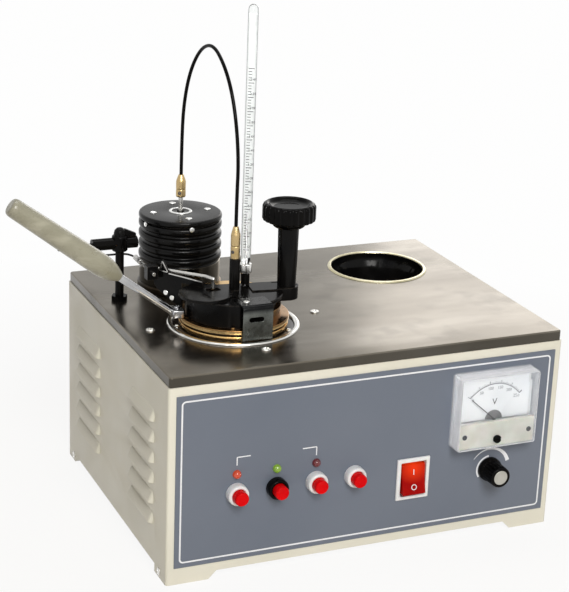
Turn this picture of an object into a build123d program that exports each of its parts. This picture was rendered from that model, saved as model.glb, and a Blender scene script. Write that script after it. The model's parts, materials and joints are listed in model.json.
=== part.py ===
from build123d import *
import os
from math import atan2, cos, degrees, hypot, pi, radians, sin, sqrt, tan

# A closed-cup flash point tester: a sheet casing with a stove let into its
# steel top, a test cup with its cover in the stove, a stirrer motor beside it
# and a cooling well for the hot cup. Sizes are in millimetres. X runs to the
# right along the front, Y to the back and Z up. Heights are above the bench.
# Plan places in this list are measured from the casing's front left corner;
# the origin is the middle of the whole object's footprint, on the bench.

# ---------------------------------------------------------------- casing
casing_width = 300.0
casing_depth = 230.0
casing_height = 152.5
sheet = 1.2
foot_height = 6.0
lip_height = 7.5
lip_inset = 0.8
rim_flange = 8.0
corner_radius = 2.0
front_foot = 31.0
foot_slope = 6.0
side_front_foot = 23.5
side_rear_foot = 17.0
side_foot_slope = 11.0
seam = 0.1
louvre_rows = 6
louvre_pitch = 15.2
louvre_top_drop = 37.9
louvre_top = casing_height - louvre_top_drop
louvre_proud = 2.8
louvre_height = 7.0
front_louvre_start = 28.0
front_louvre_length = 47.0
rear_louvre_start = 149.0
rear_louvre_length = 53.0
side_screw_inset = 14.0
side_screw_height = 4.4
side_screw_radius = 2.8
side_screw_proud = 1.0

# ---------------------------------------------------------------- steel top
top_sheet = 1.5
top_screw_radius = 2.6
top_screw_proud = 1.2
top_screw_places = [(17.6, 88.3), (80.5, 28.8), (143.9, 89.1)]

# ---------------------------------------------------------------- front panel
panel_margin = 5.5
panel_bottom = 12.6
panel_top_drop = 13.8
panel_top = casing_height - panel_top_drop
panel_sheet = 0.8
control_pitch = 29.5
first_control = 49.5
button_height = 63.0
lamp_height = 77.0
button_count = 4
collar_radius = 7.5
collar_proud = 6.0
barrel_radius = 7.0
barrel_depth = 14.0
cap_radius = 6.0
cap_proud = 11.0
cap_clearance = 0.15
cap_travel = 3.0
lamp_radius = 2.5
lamp_proud = 1.6
lamp_depth = 7.0
rocker_x = 184.3
rocker_z = 53.9
bezel_width = 25.6
bezel_height = 31.7
bezel_proud = 2.0
bezel_wall = 1.6
rocker_body_inset = 1.2
rocker_depth = 20.0
key_width = 18.0
key_height = 22.0
key_pin_radius = 1.5
key_gap = 0.3
meter_x = 244.0
meter_width = 64.0
meter_bottom_drop = 78.5
meter_bottom = casing_height - meter_bottom_drop
meter_height = 56.0
meter_proud = 13.0
meter_wall = 1.5
meter_base_depth = 2.4
dial_bottom_rise = 20.0
dial_bottom = meter_bottom + dial_bottom_rise
dial_height = 32.0
dial_width = 54.0
dial_depth = 5.0
needle_length = 25.0
needle_rest = 48.0
movement_radius = 19.0
movement_depth = 24.0
adjuster_height_rise = 7.0
adjuster_height = meter_bottom + adjuster_height_rise
adjuster_radius = 3.0
meter_screw_offset = 26.0
meter_screw_height_rise = 11.0
meter_screw_height = meter_bottom + meter_screw_height_rise
heat_x = 247.0
heat_z_drop = 22.0
heat_z = meter_bottom - heat_z_drop
heat_radius = 8.2
heat_back_radius = 7.6
heat_proud = 18.6
heat_gap = 0.4
heat_shaft_radius = 3.0
pot_radius = 12.0
pot_depth = 14.0
bushing_radius = 4.5
turning_gap = 0.05

# ---------------------------------------------------------------- stove and cup
cup_x = 79.0
cup_y = 86.0
trim_outer = 48.0
trim_inner = 43.5
trim_proud = 1.4
stove_plate_gap = 0.2
stove_plate_sheet = 1.2
can_radius = 42.0
can_wall = 1.0
can_flange = 50.0
can_bottom_drop = 76.5
can_bottom = casing_height - can_bottom_drop
bath_outer = 35.0
bath_inner = 31.0
bath_bottom_drop = 57.5
bath_bottom = casing_height - bath_bottom_drop
bath_rim = 40.6
bath_rim_thick = 3.0
heater_thick = 1.5
heater_bottom_rise = 10.0
heater_bottom = bath_bottom + heater_bottom_rise
heater_top_rise = 45.0
heater_top = bath_bottom + heater_top_rise
jacket_gap = 0.3
jacket_floor = 13.0
cup_inner = 25.4
cup_wall = 1.6
cup_floor = 2.0
cup_depth = 55.9
flange_radius = 39.5
flange_thick = 3.0
below_flange = 45.5
seat_radius = 39.0
seat_thick = 2.5
seat_spigot = 36.0
seat_lift = 1.0
seat_clearance = 0.6
gasket_radius = 37.0
gasket_thick = 1.6
rest_gap = 0.1
lug_inner = 28.5
lug_outer = 34.0
lug_height = 8.0
lug_start = -30.0
lug_sweep = 34.0
pin_radius = 1.5
pin_height = 2.0
pin_angle = -112.0

# ---------------------------------------------------------------- cup handle
handle_angle = 175.0
handle_rise = 36.5
handle_length = 148.0
rod_radius = 3.0
rod_show = 54.0
grip_end_radius = 6.7
grip_full_radius = 8.0
grip_tip_radius = 3.6
grip_taper = 15.0
grip_round = 2.0
bracket_width = 12.0
bracket_inner = 37.0
bracket_reach = 9.0
bracket_height = 6.0
bracket_corner = 1.5
bracket_screw_radius = 2.2
bracket_screw_proud = 1.4
rod_start = 8.0

# ---------------------------------------------------------------- cover
cover_radius = 35.0
skirt_inner = 27.4
skirt_gap = 0.3
lid_gap = 0.3
lid_thick = 1.7
shutter_room = 3.2
cover_plate = 2.3
cover_wall = 3.0
window_start = -36.0
window_sweep = 57.0
port_radius_at = 17.0
port_angle = 186.7
port_length = 10.0
port_width = 7.0
side_port_radius = 2.5
side_port_spread = 60.0
stirrer_tube_radius = 3.8
stirrer_tube_top_rise = 47.8
stirrer_tube_top = casing_height + stirrer_tube_top_rise
stirrer_tube_below = 2.3
stirrer_bore = 1.6
thermo_dx = 11.0
thermo_dy = 7.0
neck_radius = 3.2
neck_top_rise = 34.5
neck_top = casing_height + neck_top_rise
thermo_collar_radius = 4.4
thermo_collar_top_rise = 6.9
thermo_collar_top = neck_top + thermo_collar_top_rise
stem_clearance = 0.2
clip_left = -9.4
clip_width = 22.4
clip_thick = 1.5
clip_drop = casing_height + trim_proud
clip_reach = 16.0
clip_rise = 1.5
clip_slot_length = 11.0
clip_slot_width = 3.5

# ---------------------------------------------------------------- shutter and knob
knob_dx = 38.0
knob_dy = -5.0
crank_radius = 14.0
crank_swing = 45.0
crank_thick = 1.2
crank_width = 5.0
crank_pin_radius = 1.2
crank_hub_radius = 5.0
slot_side = 2.6
shutter_radius = 31.0
shutter_thick = 1.2
shutter_gap = 0.3
shutter_bore_gap = 0.3
ear_radius = 34.2
ear_half_angle = 8.0
spindle_radius = 2.6
spindle_gap = 0.1
arm_half_width = 7.5
arm_rise = 1.0
post_foot_radius = 6.7
post_top_radius = 7.5
post_top_rise = 69.6
post_top = casing_height + post_top_rise
knob_neck_radius = 12.5
knob_neck_top_rise = 7.9
knob_neck_top = post_top + knob_neck_top_rise
knob_radius = 19.0
knob_top_rise = 10.0
knob_top = knob_neck_top + knob_top_rise
knob_gap = 0.3
knob_flutes = 24
flute_radius = 1.3
dish_radius = 15.5
dish_depth = 3.0

# ---------------------------------------------------------------- thermometer
sheath_radius = 3.6
sheath_top_rise = 225.5
sheath_top = casing_height + sheath_top_rise
sheath_bottom_rise = 0.1
sheath_bottom = thermo_collar_top + sheath_bottom_rise
stem_radius = 2.25
bulb_bottom_drop = 27.5
bulb_bottom = casing_height - bulb_bottom_drop

# ---------------------------------------------------------------- stirrer and its drive
shaft_radius = 1.5
stirrer_bottom_drop = 37.5
stirrer_bottom = casing_height - stirrer_bottom_drop
lower_blade_reach = 19.0
upper_blade_reach = 9.5
upper_blade_height_rise = 5.5
upper_blade_height = casing_height + upper_blade_height_rise
blade_thick = 1.2
blade_width = 8.0
blade_pitch = 45.0
ferrule_radius = 3.4
ferrule_bottom_rise = 0.3
ferrule_bottom = stirrer_tube_top + ferrule_bottom_rise
ferrule_shoulder_rise = 17.9
ferrule_shoulder = ferrule_bottom + ferrule_shoulder_rise
ferrule_top_rise = 5.9
ferrule_top = ferrule_shoulder + ferrule_top_rise
ferrule_neck = 1.8
drive_radius = 1.3
coupling_radius = 3.65
coupling_socket = 9.0
spindle_end_gap = 2.0
motor_x = 71.0
motor_y = 177.0
motor_base_radius = 31.5
motor_base_thick = 5.0
motor_spigot = 6.0
spindle_foot = 5.0
motor_body_radius = 30.0
motor_radius = 31.0
motor_groove_radius = 28.4
motor_plain_top_rise = 20.5
motor_plain_top = casing_height + motor_plain_top_rise
rib_count = 4
rib_pitch = 8.0
first_rib_rise = 5.0
first_rib = motor_plain_top + first_rib_rise
rib_thick = 4.6
rib_round = 1.2
motor_top_rise = 57.5
motor_top = casing_height + motor_top_rise
coupling_bottom_rise = 11.2
coupling_bottom = motor_top + coupling_bottom_rise
coupling_shoulder_rise = 12.3
coupling_shoulder = coupling_bottom + coupling_shoulder_rise
coupling_top_rise = 5.0
coupling_top = coupling_shoulder + coupling_top_rise
motor_inner = 26.0
motor_roof = 3.0
boss_outer = 10.4
boss_height = 0.6
spindle_motor_radius = 1.75
rotor_radius = 16.0
stator_inner = 17.0
rotor_bottom_rise = 13.5
rotor_bottom = casing_height + rotor_bottom_rise
rotor_length = 26.0
motor_screw_circle = 21.0
motor_screw_radius = 2.4
motor_screw_proud = 0.7
side_fixing_radius = 1.8
side_fixing_height_drop = 5.5
side_fixing_height = motor_top - side_fixing_height_drop
side_fixing_angles = [-165.0, -94.0]

# ---------------------------------------------------------------- gas parts
valve_x = 17.1
valve_y = 156.8
valve_tail = 8.0
feed_bend = 10.0
valve_post_radius = 3.15
valve_height_rise = 43.5
valve_height = casing_height + valve_height_rise
valve_bar_radius = 4.35
valve_left_reach = 21.1
valve_right_reach = 12.9
nozzle_reach = 4.0
nozzle_radius = 1.5
valve_nut_radius = 6.0
valve_nut_height = 3.5
dome_radius = 4.4
dome_top_rise = 12.0
dome_top = valve_height + dome_top_rise
wing_thick = 3.0
wing_length = 12.0
hose_radius = 0.75
gas_tube_radius = 1.3
gas_tube_bore_gap = 0.1
gas_tube_x = 28.2
gas_tube_z_rise = 32.5
gas_tube_z = casing_height + gas_tube_z_rise
gas_tube_rear = 140.5
gas_tube_front = 112.0
feed_radius = 2.0
feed_low_drop = 24.5
feed_low = casing_height - feed_low_drop
barb_radius = 3.0
barb_length = 14.0
barb_nut_radius = 7.0
barb_nut_thick = 4.0
pivot_block_y = 118.7
pivot_block_width = 8.0
pivot_block_depth = 7.0
pivot_block_height = 10.0
shield_x = 33.3
shield_y = 119.3
shield_end_x = 56.5
shield_end_y = 89.3
shield_thick = 1.5
shield_top_rise = 1.0
shield_top = gas_tube_z + shield_top_rise
shield_foot_rise = 9.3
shield_foot = casing_height + shield_foot_rise
shield_foot_along = 20.5
shield_foot_tail = 5.5
shield_left_low_rise = 19.0
shield_left_low = casing_height + shield_left_low_rise
shield_left_lead = 3.0
shield_left_rise = 3.5
shield_tail_rise = 1.4
shield_slope = 1.5
gusset_start = 0.5
gusset_end = 9.5
gusset_peak_along = 4.0
gusset_peak = 8.2
gusset_low = 0.8
pivot_gap = 1.0
disc_x = 55.0
disc_y = 80.0
disc_radius = 19.0
disc_thick = 2.2
jet_radius = 1.2
jet_clear = 0.7
arm_offset = 3.3
clip_screw_in = 5.0
clip_screw_back = 6.0
clip_screw_radius = 2.2
clip_screw_proud = 1.4
arm_screw_in = 0.6
arm_screw_bearing = -60.0
arm_screw_radius = 1.5
arm_screw_drop = 1.8
shield_screws = [(7.6, 15.5), (12.9, 18.5)]
shield_screw_radius = 1.9
shield_screw_proud = 1.2
arm_rise_height = 2.4

# ---------------------------------------------------------------- cooling well and fan
well_x = 234.0
well_y = 170.0
well_rim = 38.2
well_rim_thick = 1.0
well_mouth = 36.0
well_mouth_depth = 8.0
well_radius = 33.0
well_wall = 1.5
well_bottom_drop = 70.5
well_bottom = casing_height - well_bottom_drop
well_vent_radius = 5.0
well_vent_circle = 20.0
well_vents = 6
fan_side = 64.0
fan_depth = 20.0
fan_bore = 29.0
fan_wall_gap = 0.8
fan_hub = 10.0
fan_blades = 7
fan_pin_radius = 2.0
fan_spoke_width = 4.0
fan_spoke_thick = 3.0

# ---------------------------------------------------------------- rear fittings and inner parts
inlet_x = 250.0
inlet_z = 45.0
inlet_width = 30.0
inlet_height = 26.0
inlet_flange = 4.0
inlet_proud = 3.0
inlet_depth = 22.0
inlet_socket_depth = 16.0
fuse_x = 205.0
fuse_radius = 6.5
fuse_proud = 9.0
fuse_depth = 24.0
transformer_x = 160.0
transformer_y = 150.0
transformer_size = 50.0
transformer_height = 44.0


# The whole object's footprint, from the reach of what stands out furthest.
handle_start_radius = flange_radius - 0.5
axis_run = cos(radians(handle_rise))
handle_dir = Vector(
    axis_run * cos(radians(handle_angle)),
    axis_run * sin(radians(handle_angle)),
    sin(radians(handle_rise)),
)
seat_height = casing_height + seat_lift
cup_flange_bottom = seat_height + seat_thick + gasket_thick + rest_gap
cup_flange_top = cup_flange_bottom + flange_thick
handle_root = (
    cup_x + handle_start_radius * cos(radians(handle_angle)),
    cup_y + handle_start_radius * sin(radians(handle_angle)),
    cup_flange_bottom + flange_thick * 0.75,
)
grip_side_reach = (grip_end_radius - grip_round) * sqrt(1 - handle_dir.X**2)
left_reach = -(handle_root[0] + (handle_length - grip_round) * handle_dir.X) + grip_side_reach + grip_round
right_reach = casing_width + max(louvre_proud, side_screw_proud)
rear_reach = casing_depth + barb_nut_thick + barb_length
left = -(right_reach - left_reach) / 2
front = -(rear_reach - heat_proud) / 2


def place(x, y, z=0.0):
    """A point given from the casing's front left corner, from the origin."""
    return (left + x, front + y, z)


def turned(x, y, outline, mode=Mode.ADD):
    """A body of revolution about the upright axis through x, y."""
    with BuildSketch(Plane(origin=place(x, y), x_dir=(1, 0, 0), z_dir=(0, -1, 0))) as half:
        with BuildLine():
            Polyline(*outline, close=True)
        make_face()
    revolve(half.sketch, axis=Axis(place(x, y), (0, 0, 1)), mode=mode)


def turned_forward(x, z, outline, mode=Mode.ADD):
    """A body of revolution about the line to the front at x, z."""
    with BuildSketch(Plane(origin=place(x, 0, z), x_dir=(1, 0, 0), z_dir=(0, 0, -1))) as half:
        with BuildLine():
            Polyline(*outline, close=True)
        make_face()
    revolve(half.sketch, axis=Axis(place(x, 0, z), (0, -1, 0)), mode=mode)


def column(x, y, low, high, radius, mode=Mode.ADD):
    """An upright round bar between two heights."""
    with Locations(place(x, y, low)):
        Cylinder(radius, high - low, align=(Align.CENTER, Align.CENTER, Align.MIN), mode=mode)


def block(x0, x1, y0, y1, z0, z1, mode=Mode.ADD):
    """A square block between two corners."""
    with Locations(place(x0, y0, z0)):
        Box(x1 - x0, y1 - y0, z1 - z0, align=(Align.MIN, Align.MIN, Align.MIN), mode=mode)


def forward_bar(x, z, back, ahead, radius, mode=Mode.ADD):
    """A round bar along Y, from back to ahead, which are distances in front of the casing."""
    with BuildSketch(Plane(origin=place(x, -back, z), x_dir=(1, 0, 0), z_dir=(0, -1, 0))) as end:
        Circle(radius)
    extrude(end.sketch, amount=ahead - back, mode=mode)


def bar_between(a, b, radius, mode=Mode.ADD):
    """A straight round bar from point a to point b."""
    with BuildSketch(Plane(origin=a, z_dir=Vector(*b) - Vector(*a))) as end:
        Circle(radius)
    extrude(end.sketch, amount=(Vector(*b) - Vector(*a)).length, mode=mode)


def around(x, y, radius, angle):
    """The plan place at a radius and an angle about x, y."""
    return (x + radius * cos(radians(angle)), y + radius * sin(radians(angle)))


def sector(x, y, low, high, inner, outer, start, sweep, mode=Mode.ADD):
    """A piece of a ring between two heights."""
    with BuildSketch(Plane.XY.offset(low)) as arc:
        with BuildLine():
            a = CenterArc(place(x, y)[:2], inner, start, sweep)
            b = CenterArc(place(x, y)[:2], outer, start, sweep)
            Line(a @ 0, b @ 0)
            Line(a @ 1, b @ 1)
        make_face()
    extrude(arc.sketch, amount=high - low, mode=mode)


def corner_radii(points):
    """Each corner's largest even radius: 0.45 of its shorter run over the tangent of half its turn."""
    radii = []
    for before, here, after in zip(points, points[1:], points[2:]):
        one = Vector(*here) - Vector(*before)
        two = Vector(*after) - Vector(*here)
        half_turn = radians(one.get_angle(two)) / 2
        radii.append(0.45 * min(one.length, two.length) / tan(half_turn))
    return radii


# ================================================================ casing
body_top = casing_height - lip_height
wall_in = sheet
mid_x = casing_width / 2
mid_y = casing_depth / 2
button_x = [first_control + control_pitch * i for i in range(button_count)]


def control_holes(back, ahead):
    """The holes that the controls pass through, in the front wall and in the panel."""
    for x in button_x:
        forward_bar(x, button_height, back, ahead, barrel_radius + seam, Mode.SUBTRACT)
    for x in button_x[:3]:
        forward_bar(x, lamp_height, back, ahead, lamp_radius + seam, Mode.SUBTRACT)
    half_w = bezel_width / 2 - rocker_body_inset + seam
    half_h = bezel_height / 2 - rocker_body_inset + seam
    block(rocker_x - half_w, rocker_x + half_w, -ahead, -back,
          rocker_z - half_h, rocker_z + half_h, Mode.SUBTRACT)
    forward_bar(meter_x, meter_bottom + meter_height / 2, back, ahead, movement_radius + seam, Mode.SUBTRACT)
    forward_bar(heat_x, heat_z, back, ahead, bushing_radius + seam, Mode.SUBTRACT)


def louvre_column(side_x, outward, start, length):
    """Hooded louvres one above the other, open below, pressed from one side wall."""
    plane = Plane(origin=place(side_x, start), x_dir=(outward, 0, 0), z_dir=(0, -outward, 0))
    hood = [(0, louvre_height / 2), (louvre_proud, 1 - louvre_height / 2),
            (louvre_proud, -louvre_height / 2), (0, -louvre_height / 2)]
    inner_proud = louvre_proud - sheet * 0.8
    hollow = [(-2 * sheet, louvre_height / 2 - 1.6), (0, louvre_height / 2 - 1.6),
              (inner_proud, -louvre_height / 2 + 0.6), (inner_proud, -louvre_height / 2),
              (-2 * sheet, -louvre_height / 2)]
    for outline, inset, mode in ((hood, 0, Mode.ADD), (hollow, sheet, Mode.SUBTRACT)):
        with BuildSketch(plane.offset(-outward * inset)) as profiles:
            for row in range(louvre_rows):
                with BuildLine():
                    Polyline(*[(u, louvre_top - row * louvre_pitch + v) for u, v in outline], close=True)
                make_face()
        extrude(profiles.sketch, amount=-outward * (length - 2 * inset), mode=mode)


with BuildPart() as casing_shell:
    with BuildSketch(Plane.XY):
        with Locations(place(mid_x, mid_y)[:2]):
            RectangleRounded(casing_width, casing_depth, corner_radius)
    extrude(amount=body_top)
    block(wall_in, casing_width - wall_in, wall_in, casing_depth - wall_in,
          -1, body_top - sheet, Mode.SUBTRACT)
    block(rim_flange, casing_width - rim_flange, rim_flange, casing_depth - rim_flange,
          0, casing_height, Mode.SUBTRACT)
    with BuildSketch(Plane(origin=place(0, -1), x_dir=(1, 0, 0), z_dir=(0, -1, 0))) as front_gap:
        with BuildLine():
            Polyline((front_foot, -1), (front_foot, 0), (front_foot + foot_slope, foot_height),
                     (casing_width - front_foot - foot_slope, foot_height),
                     (casing_width - front_foot, 0), (casing_width - front_foot, -1), close=True)
        make_face()
    extrude(front_gap.sketch, amount=-(casing_depth + 2), mode=Mode.SUBTRACT)
    with BuildSketch(Plane(origin=place(-1, 0), x_dir=(0, 1, 0), z_dir=(1, 0, 0))) as side_gap:
        with BuildLine():
            Polyline((side_front_foot, -1), (side_front_foot, foot_height),
                     (casing_depth - side_rear_foot - side_foot_slope, foot_height),
                     (casing_depth - side_rear_foot, 0), (casing_depth - side_rear_foot, -1), close=True)
        make_face()
    extrude(side_gap.sketch, amount=casing_width + 2, mode=Mode.SUBTRACT)
    for side_x, outward in ((0, -1), (casing_width, 1)):
        louvre_column(side_x, outward, front_louvre_start, front_louvre_length)
        louvre_column(side_x, outward, rear_louvre_start, rear_louvre_length)
        for y in (side_screw_inset, casing_depth - side_screw_inset):
            bar_between(place(side_x - 2 * outward * sheet, y, side_screw_height),
                        place(side_x + outward * sheet, y, side_screw_height),
                        side_screw_radius / 2 + seam, Mode.SUBTRACT)
    control_holes(-2 * sheet, sheet)
    rear_hole = casing_depth - 2 * sheet
    block(inlet_x - inlet_width / 2 - seam, inlet_x + inlet_width / 2 + seam, rear_hole, casing_depth + 1,
          inlet_z - inlet_height / 2 - seam, inlet_z + inlet_height / 2 + seam, Mode.SUBTRACT)
    forward_bar(fuse_x, inlet_z, -casing_depth - 1, -rear_hole, fuse_radius - 1 + seam, Mode.SUBTRACT)
    forward_bar(valve_x, feed_low, -casing_depth - 1, -rear_hole, feed_radius + seam, Mode.SUBTRACT)

with BuildPart() as base_plate:
    block(wall_in + seam, casing_width - wall_in - seam, wall_in + seam, casing_depth - wall_in - seam,
          foot_height, foot_height + sheet)
    foot_block = side_rear_foot - sheet
    for x0 in (wall_in + seam, casing_width - wall_in - seam - foot_block):
        for y0 in (wall_in + seam, casing_depth - wall_in - seam - foot_block):
            block(x0, x0 + foot_block, y0, y0 + foot_block, 0, foot_height)
    for x0, outward in ((wall_in, -1), (casing_width - wall_in, 1)):
        for y in (side_screw_inset, casing_depth - side_screw_inset):
            bar_between(place(x0 - outward * foot_block, y, side_screw_height),
                        place(x0 + outward, y, side_screw_height), side_screw_radius / 2 + seam, Mode.SUBTRACT)
    with BuildSketch(Plane.XY.offset(foot_height - 1)) as vents:
        with Locations(place(mid_x, mid_y)[:2]):
            with GridLocations(30, 14, 5, 6):
                SlotOverall(20, 5)
    extrude(vents.sketch, amount=sheet + 2, mode=Mode.SUBTRACT)

with BuildPart() as casing_screws:
    for side_x, outward in ((0, -1), (casing_width, 1)):
        for y in (side_screw_inset, casing_depth - side_screw_inset):
            bar_between(place(side_x, y, side_screw_height),
                        place(side_x + outward * side_screw_proud, y, side_screw_height), side_screw_radius)
            bar_between(place(side_x - outward * 9, y, side_screw_height),
                        place(side_x, y, side_screw_height), side_screw_radius / 2)
    for x, y in top_screw_places:
        column(x, y, casing_height, casing_height + top_screw_proud, top_screw_radius)
        column(x, y, casing_height - 6, casing_height, top_screw_radius / 2)

with BuildPart() as front_panel:
    block(panel_margin, casing_width - panel_margin, -panel_sheet, 0, panel_bottom, panel_top)
    control_holes(-1, panel_sheet + 1)

plate_low = casing_height - top_sheet
with BuildPart() as steel_top:
    with BuildSketch(Plane.XY.offset(body_top)):
        with Locations(place(mid_x, mid_y)[:2]):
            RectangleRounded(casing_width - 2 * lip_inset, casing_depth - 2 * lip_inset, corner_radius)
    extrude(amount=lip_height)
    chamfer(steel_top.edges().group_by(Axis.Z)[-1], length=0.7)
    skirt_wall = lip_inset + sheet
    block(skirt_wall, casing_width - skirt_wall, skirt_wall, casing_depth - skirt_wall,
          0, plate_low, Mode.SUBTRACT)
    column(cup_x, cup_y, plate_low - 1, casing_height + 1, trim_inner, Mode.SUBTRACT)
    column(well_x, well_y, plate_low - 1, casing_height + 1, well_mouth + well_wall + seam, Mode.SUBTRACT)
    column(valve_x, valve_y, plate_low - 1, casing_height + 1, valve_post_radius + seam, Mode.SUBTRACT)
    column(motor_x, motor_y, plate_low - 1, casing_height + 1, motor_inner / 2, Mode.SUBTRACT)
    for x, y in top_screw_places:
        column(x, y, plate_low - 1, casing_height + 1, top_screw_radius / 2 + seam, Mode.SUBTRACT)

# ================================================================ front controls
with BuildPart() as button_collars:
    for x in button_x:
        turned_forward(x, button_height, [
            (cap_radius + cap_clearance, collar_proud), (collar_radius - 0.6, collar_proud),
            (collar_radius, collar_proud - 0.6), (collar_radius, panel_sheet), (barrel_radius, panel_sheet),
            (barrel_radius, -barrel_depth), (0, -barrel_depth), (0, sheet - barrel_depth),
            (cap_radius + cap_clearance, sheet - barrel_depth)])

button_caps = []
for number, x in enumerate(button_x, start=1):
    with BuildPart() as button_cap:
        turned_forward(x, button_height, [
            (0, cap_proud), (cap_radius - 1.6, cap_proud), (cap_radius - 0.5, cap_proud - 0.5),
            (cap_radius, cap_proud - 1.5), (cap_radius, cap_travel - barrel_depth + 3 * sheet),
            (0, cap_travel - barrel_depth + 3 * sheet)])
    button_cap.part.label = f"button_{number}"
    button_caps.append(button_cap)

with BuildPart() as lamps:
    for x in button_x[:3]:
        forward_bar(x, lamp_height, -lamp_depth, panel_sheet + lamp_proud / 2, lamp_radius)
        with Locations(place(x, -panel_sheet - lamp_proud / 2, lamp_height)):
            Sphere(lamp_radius)

inner_half_w = bezel_width / 2 - rocker_body_inset - bezel_wall
inner_half_h = bezel_height / 2 - rocker_body_inset - bezel_wall
with BuildPart() as rocker_bezel:
    block(rocker_x - bezel_width / 2, rocker_x + bezel_width / 2, -panel_sheet - bezel_proud, -panel_sheet,
          rocker_z - bezel_height / 2, rocker_z + bezel_height / 2)
    chamfer(rocker_bezel.edges().group_by(Axis.Y)[0], length=0.6)
    body_half_w = bezel_width / 2 - rocker_body_inset
    body_half_h = bezel_height / 2 - rocker_body_inset
    block(rocker_x - body_half_w, rocker_x + body_half_w, -panel_sheet, rocker_depth,
          rocker_z - body_half_h, rocker_z + body_half_h)
    block(rocker_x - inner_half_w, rocker_x + inner_half_w, -panel_sheet - bezel_proud - 1,
          rocker_depth - bezel_wall, rocker_z - inner_half_h, rocker_z + inner_half_h, Mode.SUBTRACT)

key_pivot = 3.0
with BuildPart() as rocker_key:
    half_h = key_height / 2
    with BuildSketch(Plane(origin=place(rocker_x - key_width / 2, 0, rocker_z),
                           x_dir=(0, 1, 0), z_dir=(1, 0, 0))) as key_side:
        with BuildLine():
            Polyline((-bezel_proud - 0.3, half_h), (-bezel_proud - 1.4, 0), (-bezel_proud - 4.0, -half_h),
                     (1, 0.2 - half_h), (7, -4), (7, 4), (2, half_h), close=True)
        make_face()
    extrude(key_side.sketch, amount=key_width)
    bar_between(place(rocker_x - inner_half_w + key_gap, key_pivot, rocker_z),
                place(rocker_x + inner_half_w - key_gap, key_pivot, rocker_z), key_pin_radius)

meter_back = panel_sheet
meter_front = meter_back + meter_proud
with BuildPart() as meter_case:
    block(meter_x - meter_width / 2, meter_x + meter_width / 2, -meter_front, -meter_back,
          meter_bottom, meter_bottom + meter_height)
    fillet(meter_case.edges().filter_by(Axis.Y), radius=2.0)
    chamfer(meter_case.edges().group_by(Axis.Y)[0], length=0.6)
    block(meter_x - meter_width / 2 + meter_wall, meter_x + meter_width / 2 - meter_wall,
          meter_wall - meter_front, 1 - meter_back, meter_bottom + meter_wall,
          meter_bottom + meter_height - meter_wall, Mode.SUBTRACT)
    forward_bar(meter_x, adjuster_height, meter_back, meter_front + 1, adjuster_radius + seam, Mode.SUBTRACT)

with BuildPart() as meter_base:
    gap = meter_wall + seam
    block(meter_x - meter_width / 2 + gap, meter_x + meter_width / 2 - gap,
          -meter_back - meter_base_depth, -meter_back,
          meter_bottom + gap, meter_bottom + meter_height - gap)
    forward_bar(meter_x, meter_bottom + meter_height / 2, -movement_depth, meter_back, movement_radius)
    forward_bar(meter_x, adjuster_height, meter_back, meter_back + meter_base_depth + 1,
                adjuster_radius - 1 + seam, Mode.SUBTRACT)
    for x in (meter_x - meter_screw_offset, meter_x + meter_screw_offset):
        forward_bar(x, meter_screw_height, meter_back + meter_base_depth,
                    meter_back + meter_base_depth + 1.6, 2.6)

dial_front = meter_back + dial_depth
with BuildPart() as meter_dial:
    block(meter_x - dial_width / 2, meter_x + dial_width / 2, -dial_front,
          -meter_back - meter_base_depth, dial_bottom, dial_bottom + dial_height)
    forward_bar(meter_x, dial_bottom, dial_front - 1, dial_front + 1, 1.4, Mode.SUBTRACT)
    block(meter_x - 2, meter_x + 2, -dial_front - 1, 0.9 - dial_front, dial_bottom - 1,
          dial_bottom + 0.5, Mode.SUBTRACT)

needle_angle = radians(90 + needle_rest)
with BuildPart() as meter_needle:
    forward_bar(meter_x, dial_bottom, dial_front - 0.8, dial_front + 1.6, 1.0)
    with BuildSketch(Plane(origin=place(meter_x, -dial_front - 0.6, dial_bottom),
                           x_dir=(1, 0, 0), z_dir=(0, -1, 0))) as pointer:
        with BuildLine():
            ax, az = cos(needle_angle), sin(needle_angle)
            Polyline((-az * 0.6, ax * 0.6), (needle_length * ax, needle_length * az), (az * 0.6, -ax * 0.6),
                     (-4 * ax, -4 * az), close=True)
        make_face()
    extrude(pointer.sketch, amount=0.5)

with BuildPart() as zero_adjuster:
    forward_bar(meter_x, adjuster_height, meter_back + meter_base_depth - 1, meter_front, adjuster_radius - 1)
    forward_bar(meter_x, adjuster_height, meter_front - meter_wall, meter_front + 0.8, adjuster_radius)
    block(meter_x - 3.5, meter_x + 3.5, -meter_front - 1, 0.4 - meter_front,
          adjuster_height - 0.4, adjuster_height + 0.4, Mode.SUBTRACT)

with BuildPart() as heat_knob:
    turned_forward(heat_x, heat_z, [
        (0, heat_proud), (heat_back_radius - 0.8, heat_proud), (heat_back_radius, heat_proud - 0.8),
        (heat_radius, panel_sheet + heat_gap + 4.5), (heat_radius + 1.0, panel_sheet + heat_gap),
        (0, panel_sheet + heat_gap)])
    forward_bar(heat_x, heat_z, -pot_depth + 2, panel_sheet + heat_gap, heat_shaft_radius)
    with BuildSketch(Plane(origin=place(heat_x, -heat_proud, heat_z), x_dir=(1, 0, 0), z_dir=(0, -1, 0))) as grooves:
        with PolarLocations(heat_radius + 0.15, 20):
            Circle(0.7)
    extrude(grooves.sketch, amount=-(heat_proud - panel_sheet - heat_gap - 4.5), mode=Mode.SUBTRACT)

with BuildPart() as potentiometer:
    forward_bar(heat_x, heat_z, -pot_depth - sheet, -sheet, pot_radius)
    forward_bar(heat_x, heat_z, -sheet, panel_sheet, bushing_radius)
    forward_bar(heat_x, heat_z, -pot_depth + 1.5, panel_sheet + 1, heat_shaft_radius + turning_gap, Mode.SUBTRACT)

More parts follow.
